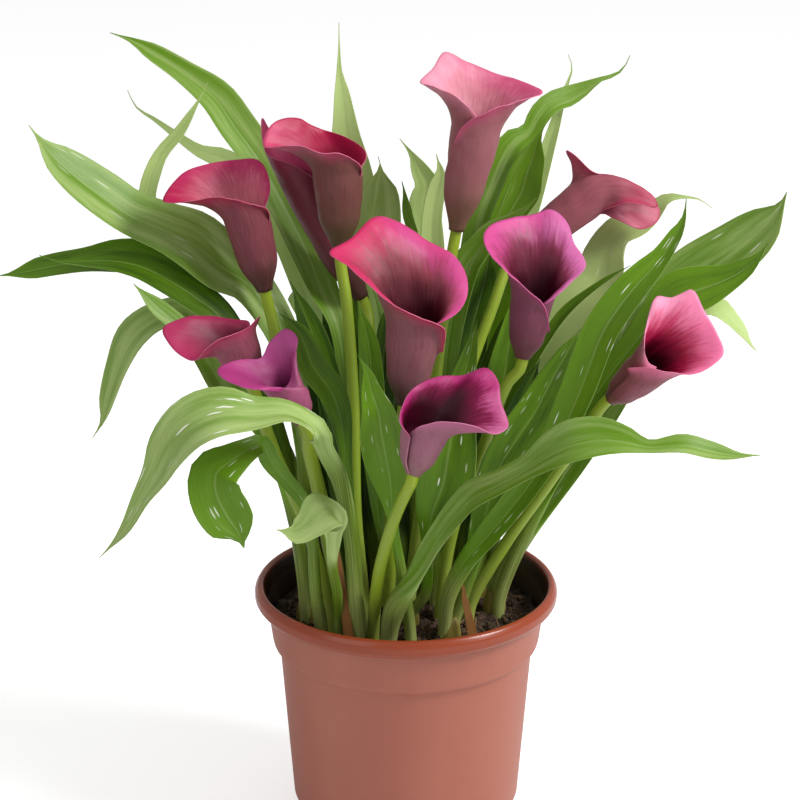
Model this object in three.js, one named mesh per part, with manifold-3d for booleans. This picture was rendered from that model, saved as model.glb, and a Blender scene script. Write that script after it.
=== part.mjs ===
// A potted calla lily: a moulded nursery pot filled with soil, eleven blooms and their leafy shoots.
// Millimetres, +Z up. The origin is the middle of the pot's foot, on the surface it stands on.
import * as THREE from 'three';
import * as BufferGeometryUtils from 'three/addons/utils/BufferGeometryUtils.js';
import Module from 'manifold-3d';

const wasm = await Module();
wasm.setup();

// Pot sizes
const POT_HEIGHT = 120;
const POT_SEGMENTS = 32;
const RIM_RADIUS = 71.2;
const RIM_INNER_RADIUS = 67.2;
const LIP_HEIGHT = 8.5;
const COLLAR_TOP_RADIUS = 65.6;
const COLLAR_LOW_RADIUS = 63.2;
const SHOULDER_Z = 89;
const BODY_TOP_RADIUS = 59.8;
const FOOT_Z = 12;
const BODY_LOW_RADIUS = 54;
const FOOT_RADIUS = 52;
const FOOT_RING = 4;
const FLOOR_UNDER_Z = 2.5;
const FLOOR_TOP_Z = 4.5;
const PAD_RADIUS = 12;
const PAD_SLOPE = 2;
const WALL = 1.6;
const DRAIN_HOLES = 6;
const DRAIN_RADIUS = 4;
const DRAIN_CIRCLE = 32;

// Soil sizes
const SOIL_Z = 104;
const SOIL_ROUGHNESS = 2.4;
const SOIL_SEGMENTS = 24;
const SOIL_RINGS = [13, 26, 38, 50];
const CLEARANCE = 0.3;
const ROOT_Z = 92;
const ROOTED_Z = SOIL_Z + 4;
const HOLE_SIDES = 8;
const HOLE_CLEARANCE = 0.5;

// Leaf sizes
const STALK_RADIUS = 2.9;
const BLADE_EDGE = 0.7;
const BLADE_MIDRIB = 1.5;
const TIP_HALF_WIDTH = 0.7;
const LEAF_STATIONS = 11;
const SHEATH_TOP_Z = 126;

// Bloom sizes
const STEM_RADIUS = 3.1;
const STEM_SIDES = 7;
const STEM_STATIONS = 7;
const STEM_IN_TUBE = 6;
const SPATHE_WALL = 0.9;
const SPATHE_FOOT_RADIUS = 5.05;
const SPATHE_SPIRAL = 2;
const SPATHE_COLUMNS = 13;
const SPATHE_ROWS = [0, 0.1, 0.28, 0.5, 0.7, 0.86, 1];
const SPADIX_RADIUS = 2.7;
const SPADIX_SIDES = 6;
const SPADIX_ROWS = 7;

const UP = new THREE.Vector3(0, 0, 1);

function vec(list) {
  return new THREE.Vector3(list[0], list[1], list[2]);
}

function smooth(t) {
  const c = Math.min(1, Math.max(0, t));
  return c * c * (3 - 2 * c);
}

// A small repeatable random source, so that each build gives the same soil
function randomSource(seed) {
  let state = seed;
  return () => {
    state = (state * 1664525 + 1013904223) % 4294967296;
    return state / 4294967296;
  };
}

// Geometry from points and triangles, turned so that its faces point out
function solidGeometry(points, triangles) {
  let volume = 0;
  for (const [a, b, c] of triangles) {
    volume += points[a].dot(points[b].clone().cross(points[c]));
  }
  const ordered = volume < 0 ? triangles.map(([a, b, c]) => [a, c, b]) : triangles;
  const geometry = new THREE.BufferGeometry();
  const positions = points.flatMap((p) => [p.x, p.y, p.z]);
  geometry.setAttribute('position', new THREE.Float32BufferAttribute(positions, 3));
  geometry.setIndex(ordered.flat());
  return geometry;
}

// A closed sheet from two matching grids of points, with both faces split along the same diagonals
function sheetGeometry(top, bottom) {
  const rows = top.length;
  const columns = top[0].length;
  const points = [...top.flat(), ...bottom.flat()];
  const upper = (k, i) => k * columns + i;
  const lower = (k, i) => rows * columns + k * columns + i;
  const triangles = [];
  for (let k = 0; k < rows - 1; k += 1) {
    for (let i = 0; i < columns - 1; i += 1) {
      triangles.push([upper(k, i), upper(k + 1, i + 1), upper(k + 1, i)]);
      triangles.push([upper(k, i), upper(k, i + 1), upper(k + 1, i + 1)]);
      triangles.push([lower(k, i), lower(k + 1, i), lower(k + 1, i + 1)]);
      triangles.push([lower(k, i), lower(k + 1, i + 1), lower(k, i + 1)]);
    }
    for (const [i, turn] of [[0, false], [columns - 1, true]]) {
      const quad = [upper(k, i), upper(k + 1, i), lower(k + 1, i), lower(k, i)];
      addQuad(triangles, quad, turn);
    }
  }
  for (let i = 0; i < columns - 1; i += 1) {
    addQuad(triangles, [upper(0, i), upper(0, i + 1), lower(0, i + 1), lower(0, i)], true);
    const k = rows - 1;
    addQuad(triangles, [upper(k, i), upper(k, i + 1), lower(k, i + 1), lower(k, i)], false);
  }
  return solidGeometry(points, triangles);
}

function addQuad(triangles, [a, b, c, d], turn) {
  if (turn) {
    triangles.push([a, c, b], [a, d, c]);
  } else {
    triangles.push([a, b, c], [a, c, d]);
  }
}

// A closed tube through matching rings of points, with a fan over each end
function ringsGeometry(rings) {
  const sides = rings[0].length;
  const points = rings.flat();
  const triangles = [];
  for (let k = 0; k < rings.length - 1; k += 1) {
    for (let i = 0; i < sides; i += 1) {
      const next = (i + 1) % sides;
      const low = k * sides;
      const high = low + sides;
      triangles.push([low + i, low + next, high + next], [low + i, high + next, high + i]);
    }
  }
  const last = (rings.length - 1) * sides;
  for (let i = 1; i < sides - 1; i += 1) {
    triangles.push([0, i + 1, i], [last, last + i, last + i + 1]);
  }
  return solidGeometry(points, triangles);
}

function toManifold(geometry) {
  const bare = geometry.clone();
  bare.deleteAttribute('normal');
  bare.deleteAttribute('uv');
  const merged = BufferGeometryUtils.mergeVertices(bare);
  const mesh = new wasm.Mesh({
    numProp: 3,
    vertProperties: new Float32Array(merged.attributes.position.array),
    triVerts: new Uint32Array(merged.index.array),
  });
  return new wasm.Manifold(mesh);
}

function fromManifold(solid) {
  const mesh = solid.getMesh();
  const geometry = new THREE.BufferGeometry();
  geometry.setAttribute('position', new THREE.BufferAttribute(mesh.vertProperties, 3));
  geometry.setIndex(new THREE.BufferAttribute(mesh.triVerts, 1));
  return geometry;
}

// Pot

function potOuterProfile() {
  const lipZ = POT_HEIGHT - LIP_HEIGHT;
  return [
    [FOOT_RADIUS - FOOT_RING, 0],
    [FOOT_RADIUS, 0],
    [FOOT_RADIUS + 0.5, FOOT_Z - 1.5],
    [BODY_LOW_RADIUS, FOOT_Z],
    [BODY_TOP_RADIUS, SHOULDER_Z],
    [COLLAR_LOW_RADIUS - 0.6, SHOULDER_Z + 2],
    [COLLAR_LOW_RADIUS, SHOULDER_Z + 4.5],
    [COLLAR_TOP_RADIUS, lipZ],
    [RIM_RADIUS - 1.4, lipZ],
    [RIM_RADIUS, lipZ + 2],
    [RIM_RADIUS, POT_HEIGHT - 3],
    [RIM_RADIUS - 1.4, POT_HEIGHT - 0.6],
    [RIM_INNER_RADIUS + 1.2, POT_HEIGHT],
  ];
}

function potInnerProfile() {
  return [
    [RIM_INNER_RADIUS, POT_HEIGHT - 0.8],
    [COLLAR_TOP_RADIUS - WALL + 0.6, POT_HEIGHT - LIP_HEIGHT - 1],
    [COLLAR_LOW_RADIUS - WALL, SHOULDER_Z + 4],
    [BODY_TOP_RADIUS - WALL, SHOULDER_Z - 1],
    [BODY_LOW_RADIUS - WALL, FOOT_Z],
    [FOOT_RADIUS - WALL - 0.8, FLOOR_TOP_Z],
  ];
}

function potGeometry() {
  const underside = [
    [0, 0],
    [PAD_RADIUS, 0],
    [PAD_RADIUS + PAD_SLOPE, FLOOR_UNDER_Z],
    [FOOT_RADIUS - FOOT_RING, FLOOR_UNDER_Z],
  ];
  const profile = [...underside, ...potOuterProfile(), ...potInnerProfile(), [0, FLOOR_TOP_Z]];
  const lathe = new THREE.LatheGeometry(profile.map(([r, z]) => new THREE.Vector2(r, z)), POT_SEGMENTS);
  lathe.rotateX(Math.PI / 2);
  let pot = toManifold(turnedOut(lathe));
  for (let i = 0; i < DRAIN_HOLES; i += 1) {
    const angle = (i + 0.5) * 2 * Math.PI / DRAIN_HOLES;
    const hole = new THREE.CylinderGeometry(DRAIN_RADIUS, DRAIN_RADIUS, 3 * FLOOR_TOP_Z, 8);
    hole.rotateX(Math.PI / 2);
    hole.translate(DRAIN_CIRCLE * Math.cos(angle), DRAIN_CIRCLE * Math.sin(angle), FLOOR_TOP_Z);
    pot = pot.subtract(toManifold(hole));
  }
  return fromManifold(pot);
}

// A lathed shape with its triangles in the order that makes its volume positive
function turnedOut(lathe) {
  const bare = lathe.clone();
  bare.deleteAttribute('normal');
  bare.deleteAttribute('uv');
  const merged = BufferGeometryUtils.mergeVertices(bare, 1e-3);
  const array = merged.attributes.position.array;
  const points = [];
  for (let i = 0; i < array.length; i += 3) {
    points.push(new THREE.Vector3(array[i], array[i + 1], array[i + 2]));
  }
  const triangles = [];
  const index = merged.index.array;
  for (let i = 0; i < index.length; i += 3) {
    const triangle = [index[i], index[i + 1], index[i + 2]];
    if (new Set(triangle).size === 3) {
      triangles.push(triangle);
    }
  }
  return solidGeometry(points, triangles);
}

// Soil, a filled body with a rough top, cut by a plain hole for each stem and shoot

function soilGeometry(holes) {
  const random = randomSource(7);
  const ring = (radius, z, rough) => {
    const points = [];
    for (let i = 0; i < SOIL_SEGMENTS; i += 1) {
      const angle = 2 * Math.PI * i / SOIL_SEGMENTS;
      const lift = rough ? (random() - 0.5) * 2 * SOIL_ROUGHNESS : 0;
      points.push(new THREE.Vector3(radius * Math.cos(angle), radius * Math.sin(angle), z + lift));
    }
    return points;
  };
  // The flats of the soil's outline stay inside the pot's own flats
  const inside = (radius) => radius * Math.cos(Math.PI / POT_SEGMENTS) - CLEARANCE;
  const slope = (COLLAR_TOP_RADIUS - COLLAR_LOW_RADIUS) / (POT_HEIGHT - LIP_HEIGHT - SHOULDER_Z - 4.5);
  const edge = inside(COLLAR_LOW_RADIUS - WALL + slope * (SOIL_Z - SHOULDER_Z - 8));
  const rings = [
    ring(inside(FOOT_RADIUS - WALL - 0.8), FLOOR_TOP_Z + CLEARANCE, false),
    ring(inside(BODY_LOW_RADIUS - WALL), FOOT_Z + 1, false),
    ring(inside(BODY_TOP_RADIUS - WALL), SHOULDER_Z - 1, false),
    ring(inside(COLLAR_LOW_RADIUS - WALL), SHOULDER_Z + 5, false),
    ring(edge, SOIL_Z - 1, true),
    ...[...SOIL_RINGS].reverse().map((radius) => ring(radius, SOIL_Z, true)),
  ];
  let soil = toManifold(ringsGeometry(rings));
  for (const { x, y, radius } of holes) {
    const depth = SOIL_Z + 2 * SOIL_ROUGHNESS - ROOT_Z + 2 * HOLE_CLEARANCE;
    const outer = (radius + HOLE_CLEARANCE) / Math.cos(Math.PI / HOLE_SIDES);
    const hole = new THREE.CylinderGeometry(outer, outer, depth, HOLE_SIDES);
    hole.rotateX(Math.PI / 2);
    hole.translate(x, y, ROOT_Z - HOLE_CLEARANCE + depth / 2);
    soil = soil.subtract(toManifold(hole));
  }
  return fromManifold(soil);
}

// Leaves

// A leaf is one closed sheet along its midrib: a round stalk that flattens into a folded blade.
// path: midrib points after the foot, each with the half width there; face: the way the upper side
// looks; fold: how far the blade folds up along the midrib, in degrees; flatFrom: where the stalk
// starts to flatten, as a part of the length; across: points over the width.
function leafGeometry(leaf, rootZ = ROOT_Z) {
  const [footX, footY] = leaf.foot;
  const stalk = leaf.stalk ?? STALK_RADIUS;
  const rooted = [[footX, footY, rootZ, stalk], [footX, footY, ROOTED_Z, stalk], ...leaf.path];
  const curve = new THREE.CatmullRomCurve3(rooted.map(vec), false, 'centripetal');
  const stations = leaf.stations ?? LEAF_STATIONS;
  const face = vec(leaf.face).normalize();
  const flatFrom = leaf.flatFrom ?? 0.3;
  const fold = THREE.MathUtils.degToRad(leaf.fold ?? 14);
  const columns = leaf.across === 3 ? [-1, 0, 1] : [-1, -0.5, 0, 0.5, 1];
  const rootShare = (ROOTED_Z - rootZ) / curve.getLength();
  const top = [];
  const bottom = [];
  for (let k = 0; k < stations; k += 1) {
    const s = stationAt(k, stations, rootShare, flatFrom);
    const centre = curve.getPointAt(s);
    const along = curve.getTangentAt(s);
    const normal = face.clone().addScaledVector(along, -face.dot(along)).normalize();
    const side = along.clone().cross(normal);
    const flat = smooth((s - flatFrom) / 0.16 + 0.5);
    const half = widthAt(rooted, curve.getUtoTmapping(s));
    const topRow = [];
    const bottomRow = [];
    for (const j of columns) {
      const across = Math.abs(j);
      const lift = half * across * Math.sin(fold) * (0.55 + 0.45 * across);
      const wide = half * j * Math.cos(fold);
      const thick = (BLADE_MIDRIB * (1 - 0.5 * s) - BLADE_EDGE) * (1 - across) + BLADE_EDGE;
      const angle = Math.PI / 2 - j * Math.PI * 0.42;
      const round = [half * Math.cos(angle), half * Math.sin(angle)];
      topRow.push(placed(centre, side, normal, round[0], round[1], wide, lift + thick / 2, flat));
      bottomRow.push(placed(centre, side, normal, round[0], -round[1], wide, lift - thick / 2, flat));
    }
    top.push(topRow);
    bottom.push(bottomRow);
  }
  return sheetGeometry(top, bottom);
}

// The first stretch is the straight part in the soil. Few stations follow on the stalk, and the
// rest are on the blade.
function stationAt(k, count, rootShare, flatFrom) {
  const stalkPart = 0.2;
  const t = (k - 1) / (count - 2);
  if (k < 2) {
    return k * rootShare;
  }
  if (t < stalkPart) {
    return rootShare + (flatFrom - rootShare) * t / stalkPart;
  }
  return Math.min(1, flatFrom + (1 - flatFrom) * (t - stalkPart) / (1 - stalkPart));
}

// The half width at one place of the midrib curve, smooth between the measured points
function widthAt(points, t) {
  const place = t * (points.length - 1);
  const low = Math.min(points.length - 2, Math.floor(place));
  const width = (i) => points[Math.min(points.length - 1, Math.max(0, i))][3];
  const [w0, w1, w2, w3] = [width(low - 1), width(low), width(low + 1), width(low + 2)];
  const r = place - low;
  const bend = (2 * w0 - 5 * w1 + 4 * w2 - w3) * r * r + (3 * w1 - w0 - 3 * w2 + w3) * r * r * r;
  return Math.max(TIP_HALF_WIDTH, 0.5 * (2 * w1 + (w2 - w0) * r + bend));
}

// A point of a section, between its place on the round stalk and its place on the flat blade
function placed(centre, side, normal, roundAcross, roundUp, flatAcross, flatUp, flat) {
  const across = roundAcross + (flatAcross - roundAcross) * flat;
  const up = roundUp + (flatUp - roundUp) * flat;
  return centre.clone().addScaledVector(side, across).addScaledVector(normal, up);
}

// The short sheath that holds the leaf stalks of one shoot together at its foot
function sheathGeometry(x, y, radius) {
  const sides = 10;
  const rings = [[radius, ROOT_Z], [radius, SOIL_Z + 6], [radius * 0.82, SHEATH_TOP_Z]];
  return ringsGeometry(rings.map(([r, z]) => {
    const points = [];
    for (let i = 0; i < sides; i += 1) {
      const angle = 2 * Math.PI * i / sides;
      points.push(new THREE.Vector3(x + r * Math.cos(angle), y + r * Math.sin(angle), z));
    }
    return points;
  }));
}

// Blooms

function stemGeometry(stem, spathe) {
  const foot = vec(spathe.foot);
  const tubeAxis = vec(spathe.throat).sub(foot).normalize();
  const below = foot.clone().addScaledVector(tubeAxis, -STEM_IN_TUBE);
  const end = foot.clone().addScaledVector(tubeAxis, STEM_IN_TUBE);
  const rooted = [[...stem.foot, ROOT_Z], [...stem.foot, ROOTED_Z], ...stem.path].map(vec);
  const curve = new THREE.CatmullRomCurve3([...rooted, below, end], false, 'centripetal');
  const length = curve.getLength();
  const stations = [0, (ROOTED_Z - ROOT_Z) / length];
  const lastStretch = 1 - 2 * STEM_IN_TUBE / length;
  for (let k = 1; k < STEM_STATIONS - 2; k += 1) {
    stations.push(stations[1] + (lastStretch - stations[1]) * k / (STEM_STATIONS - 3));
  }
  const rings = [...stations, 1].map((s) => {
    const along = curve.getTangentAt(s);
    const side = new THREE.Vector3(1, 0, 0).addScaledVector(along, -along.x).normalize();
    return ringPoints(curve.getPointAt(s), side, along, STEM_RADIUS, STEM_SIDES);
  });
  return ringsGeometry(rings);
}

function ringPoints(centre, side, along, radius, sides) {
  const other = along.clone().cross(side);
  const points = [];
  for (let i = 0; i < sides; i += 1) {
    const angle = 2 * Math.PI * i / sides;
    const r = Array.isArray(radius) ? radius[i % radius.length] : radius;
    const point = centre.clone().addScaledVector(side, r * Math.cos(angle));
    points.push(point.addScaledVector(other, r * Math.sin(angle)));
  }
  return points;
}

// The rim is a smooth curve through the measured points, read by the angle round the tube
function rimAt(rim, u) {
  const curve = new THREE.CatmullRomCurve3(rim.map((row) => vec(row.slice(1))), false, 'centripetal');
  const t = u * (rim.length - 1);
  const low = Math.min(rim.length - 2, Math.floor(t));
  const angle = rim[low][0] + (rim[low + 1][0] - rim[low][0]) * (t - low);
  return { angle: THREE.MathUtils.degToRad(angle), point: curve.getPoint(u) };
}

// The middle of the spathe's sheet: up the tube, then out to the rim
function spathePoint(spathe, u, v) {
  const foot = vec(spathe.foot);
  const throat = vec(spathe.throat);
  const axis = throat.clone().sub(foot);
  const tube = axis.length();
  axis.normalize();
  const front = vec(spathe.front);
  front.addScaledVector(axis, -front.dot(axis)).normalize();
  const right = axis.clone().cross(front);
  const { angle, point: rim } = rimAt(spathe.rim, u);
  const around = front.clone().multiplyScalar(Math.cos(angle)).addScaledVector(right, Math.sin(angle));
  const rimHeight = rim.clone().sub(foot).dot(axis);
  const tubeTop = Math.min(tube, rimHeight * 0.82);
  const tubeShare = 0.55;
  const onTube = (height) => {
    const swell = smooth(height / (0.3 * tube));
    const spiral = SPATHE_SPIRAL * (0.5 - u) * (0.7 + 0.3 * swell);
    const opening = smooth((height / tube - 0.3) / 0.7);
    const belly = SPATHE_FOOT_RADIUS + (spathe.belly - SPATHE_FOOT_RADIUS) * swell;
    const radius = belly + (spathe.opening - spathe.belly) * opening + spiral;
    return foot.clone().addScaledVector(axis, height).addScaledVector(around, radius);
  };
  if (v <= tubeShare) {
    return onTube(tubeTop * v / tubeShare);
  }
  const start = onTube(tubeTop);
  const reach = rim.clone().sub(start);
  const rise = reach.dot(axis);
  const outward = reach.clone().addScaledVector(axis, -rise);
  const t = (v - tubeShare) / (1 - tubeShare);
  const controlA = start.clone().addScaledVector(axis, Math.max(2, 0.6 * rise));
  controlA.addScaledVector(outward, 0.12);
  const controlB = rim.clone().addScaledVector(outward, -0.4).addScaledVector(axis, -0.12 * rise);
  const curve = new THREE.CubicBezierCurve3(start, controlA, controlB, rim);
  return curve.getPoint(t);
}

function spatheGeometry(spathe) {
  const step = 1e-3;
  const outer = [];
  const inner = [];
  const columns = spathe.columns ?? SPATHE_COLUMNS;
  for (const v of SPATHE_ROWS) {
    const outerRow = [];
    const innerRow = [];
    for (let i = 0; i <= columns; i += 1) {
      const u = i / columns;
      const middle = spathePoint(spathe, u, v);
      const across = spathePoint(spathe, Math.min(1, u + step), v);
      across.sub(spathePoint(spathe, Math.max(0, u - step), v));
      const along = spathePoint(spathe, u, Math.min(1, v + step));
      along.sub(spathePoint(spathe, u, Math.max(0, v - step)));
      const normal = across.cross(along).normalize();
      outerRow.push(middle.clone().addScaledVector(normal, SPATHE_WALL / 2));
      innerRow.push(middle.clone().addScaledVector(normal, -SPATHE_WALL / 2));
    }
    outer.push(outerRow);
    inner.push(innerRow);
  }
  return sheetGeometry(outer, inner);
}

// The spadix stands on the stem's end. Its florets are a relief of raised and sunk points.
function spadixGeometry(spathe) {
  const foot = vec(spathe.foot);
  const axis = vec(spathe.throat).sub(foot);
  const length = 0.75 * axis.length();
  const widest = SPADIX_RADIUS * Math.min(1, spathe.belly / 8);
  axis.normalize();
  const start = foot.clone().addScaledVector(axis, STEM_IN_TUBE + CLEARANCE);
  const side = new THREE.Vector3(1, 0, 0).addScaledVector(axis, -axis.x).normalize();
  const rings = [];
  for (let k = 0; k < SPADIX_ROWS; k += 1) {
    const s = k / (SPADIX_ROWS - 1);
    const taper = widest * Math.sqrt(Math.max(0.06, 1 - Math.pow(s, 3)));
    const relief = k === 0 ? 0 : 0.13;
    const radii = k % 2 === 0 ? [taper * (1 + relief), taper * (1 - relief)] : [taper * (1 - relief), taper];
    const centre = start.clone().addScaledVector(axis, s * length);
    rings.push(ringPoints(centre, side, axis, radii, SPADIX_SIDES));
  }
  return ringsGeometry(rings);
}

// Flower stems, one to a bloom: where each stands in the soil, and the points it passes
const STEMS = {
  1: { foot: [-30, -4], path: [[-36, -7, 150], [-46, -9, 196], [-56, -7, 230]] },
  2: { foot: [-19, -17], path: [[-23, -18, 160], [-24, -12, 214], [-27, 0, 256]] },
  3: { foot: [-10, 8], path: [[-9, 9, 160], [-12, 18, 203], [-17, 26, 236]] },
  4: { foot: [2, 6], path: [[7, 6, 158], [12, 9, 200], [19, 16, 262]] },
  5: { foot: [14, 11], path: [[17, 12, 160], [26, 18, 206], [40, 30, 244]] },
  6: { foot: [16, -8], path: [[22, -9, 150], [34, -12, 187], [46, -17, 224]] },
  7: { foot: [-8, -18], path: [[-7, -28, 150], [-5, -40, 185], [-2, -46, 212]] },
  8: { foot: [-15, -32], path: [[-12, -56, 148], [-5, -74, 181], [1, -82, 198]] },
  9: { foot: [30, -6], path: [[46, -6, 140], [64, -10, 170], [82, -17, 202]] },
  10: { foot: [-34, -19], path: [[-46, -28, 160], [-58, -37, 196], [-65, -41, 220]] },
  11: { foot: [-28, -26], path: [[-35, -36, 150], [-40, -50, 188], [-43, -58, 208]] },
};

// Spathes. foot and throat: the ends of the tube's middle line; belly and opening: its radii;
// front: the way that angle 0 looks; rim: angle round the tube, then the place of the rim there;
// columns: how many strips its sheet has across, where it has more than the others.
// The rim runs from the overlapping outer edge, once round the mouth, to the covered inner edge.
const SPATHES = {
  1: {
    foot: [-64, 0, 262], throat: [-72, 0, 297], belly: 8, opening: 9.5, front: [0, -1, 0],
    rim: [[110, -61, 0, 289], [75, -62, -8, 302], [45, -70, -12, 305], [15, -78, -14, 308],
      [-20, -87, -14, 308], [-50, -98, -13, 306], [-85, -108, -6, 305], [-120, -100, 3, 315],
      [-150, -89, 9, 318], [-180, -77, 13, 319], [-215, -66, 12, 319], [-250, -61, 6, 310],
      [-285, -63, -2, 301], [-310, -67, -5, 295]],
  },
  2: {
    foot: [-30, 5, 281], throat: [-31, 5, 316], belly: 8.5, opening: 10.5, front: [0, -1, 0],
    rim: [[110, -23, 4, 308], [75, -20, -3, 319], [50, -25, -9, 325], [20, -30, -13, 328],
      [-10, -37, -14, 328], [-40, -45, -13, 331], [-65, -53, -12, 331], [-95, -63, -4, 329],
      [-125, -60, 3, 337], [-155, -51, 10, 339], [-185, -39, 15, 333], [-225, -26, 13, 329],
      [-260, -18, 6, 324], [-285, -20, 0, 319], [-310, -25, -2, 312]],
  },
  3: {
    foot: [-21, 30, 250], throat: [-46, 24, 303], belly: 8, opening: 9, front: [0, -1, 0],
    rim: [[100, -38, 20, 300], [65, -40, 16, 308], [30, -48, 13, 315], [0, -54, 12, 318],
      [-40, -60, 13, 320], [-80, -64, 18, 323], [-105, -65, 23, 336], [-130, -59, 28, 326],
      [-170, -48, 33, 325], [-210, -39, 34, 319], [-250, -34, 28, 310], [-290, -39, 22, 303]],
  },
  4: {
    foot: [23, 20, 285], throat: [31, 17, 333], belly: 8.3, opening: 11, front: [0, -1, 0],
    rim: [[-70, 20, 14, 320], [-45, 22, 7, 330], [-20, 26, 3, 337], [10, 33, 1, 342],
      [35, 40, 2, 345], [60, 50, 7, 347], [85, 61, 16, 349], [125, 51, 29, 352],
      [160, 39, 33, 355], [190, 27, 33, 360], [215, 17, 28, 365], [240, 12, 22, 359],
      [265, 6, 14, 354], [300, 13, 7, 353], [330, 21, 5, 350], [360, 29, 6, 343],
      [395, 36, 10, 334]],
  },
  5: {
    foot: [55, 42, 271], throat: [88, 45, 297], belly: 8, opening: 9.5, front: [0, -1, 0], columns: 20,
    rim: [[60, 91, 36, 290], [48, 96, 32, 293], [35, 101, 30, 295], [18, 108, 31, 294],
      [0, 116, 34, 292], [-20, 115, 36, 296], [-38, 108, 38, 301], [-56, 98, 38, 305],
      [-70, 90, 39, 306], [-80, 84, 40, 309], [-86, 79, 41, 314], [-92, 74, 42, 317],
      [-102, 77, 46, 310], [-122, 82, 51, 302], [-160, 96, 56, 298], [-200, 110, 57, 291],
      [-235, 119, 52, 287], [-255, 118, 47, 282], [-275, 110, 43, 279], [-295, 101, 41, 283],
      [-315, 93, 41, 287]],
  },
  6: {
    foot: [52, -18, 236], throat: [56, -18, 261], belly: 7, opening: 9, front: [0, -1, 0],
    rim: [[70, 64, -21, 249], [30, 61, -29, 262], [-5, 54, -34, 271], [-35, 45, -35, 279],
      [-65, 37, -31, 286], [-92, 34, -23, 292], [-120, 37, -12, 295], [-155, 47, -2, 296],
      [-185, 57, 4, 296], [-210, 65, 6, 298], [-235, 72, 4, 293], [-258, 75, -4, 285],
      [-280, 80, -12, 277], [-305, 74, -19, 272], [-335, 66, -25, 266], [-365, 58, -25, 260]],
  },
  7: {
    foot: [-1, -48, 224], throat: [3, -48, 258], belly: 8.5, opening: 11, front: [0, -1, 0],
    rim: [[85, 16, -51, 249], [50, 16, -60, 262], [15, 5, -66, 269], [-15, -7, -68, 276],
      [-45, -17, -66, 284], [-70, -25, -60, 290], [-95, -33, -50, 293], [-125, -24, -38, 296],
      [-155, -14, -28, 303], [-185, -5, -22, 300], [-215, 9, -22, 291], [-245, 20, -27, 286],
      [-270, 26, -35, 279], [-295, 26, -44, 271], [-320, 21, -52, 266], [-345, 13, -55, 262],
      [-365, 7, -56, 257]],
  },
  8: {
    foot: [3, -84, 205], throat: [8, -84, 223], belly: 7, opening: 9.5, front: [0, -1, 0],
    rim: [[-40, 1, -93, 225], [-75, -3, -89, 230], [-105, -2, -84, 235], [-135, 3, -74, 240],
      [-165, 13, -68, 243], [-195, 25, -65, 243], [-220, 34, -65, 246], [-245, 39, -71, 242],
      [-265, 40, -78, 235], [-285, 43, -86, 227], [-305, 37, -93, 226], [-330, 28, -97, 231],
      [-360, 16, -98, 233], [-390, 7, -96, 231], [-420, 3, -90, 226]],
  },
  9: {
    foot: [92, -22, 218], throat: [104, -32, 233], belly: 6.5, opening: 8.5, front: [0, 0, -1],
    rim: [[-95, 97, -40, 238], [-55, 105, -46, 240], [-20, 114, -49, 239], [15, 124, -49, 238],
      [50, 134, -45, 241], [80, 139, -40, 245], [110, 136, -34, 253], [140, 131, -29, 261],
      [165, 126, -24, 269], [190, 117, -26, 266], [210, 110, -28, 267], [235, 106, -33, 259],
      [265, 104, -40, 248], [295, 106, -41, 241], [320, 110, -39, 238]],
  },
  10: {
    foot: [-68, -42, 231], throat: [-74, -42, 247], belly: 7, opening: 9, front: [0, -1, 0],
    rim: [[150, -69, -32, 247], [110, -64, -38, 261], [70, -68, -47, 259], [35, -74, -54, 258],
      [0, -81, -57, 256], [-35, -86, -57, 252], [-65, -92, -55, 246], [-95, -100, -51, 249],
      [-120, -106, -44, 257], [-150, -97, -37, 260], [-185, -87, -31, 259], [-220, -77, -29, 257],
      [-250, -69, -34, 257], [-285, -71, -39, 251]],
  },
  11: {
    foot: [-45, -62, 221], throat: [-51, -62, 234], belly: 6, opening: 7.5, front: [0, -1, 0],
    rim: [[120, -46, -56, 230], [85, -48, -64, 236], [45, -55, -73, 238], [10, -63, -79, 241],
      [-30, -71, -80, 243], [-65, -79, -76, 246], [-95, -80, -68, 247], [-130, -72, -60, 248],
      [-165, -63, -54, 247], [-195, -59, -49, 253], [-220, -52, -47, 258], [-250, -47, -51, 255],
      [-275, -49, -57, 247], [-295, -50, -61, 239], [-320, -53, -64, 235]],
  },
};

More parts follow.
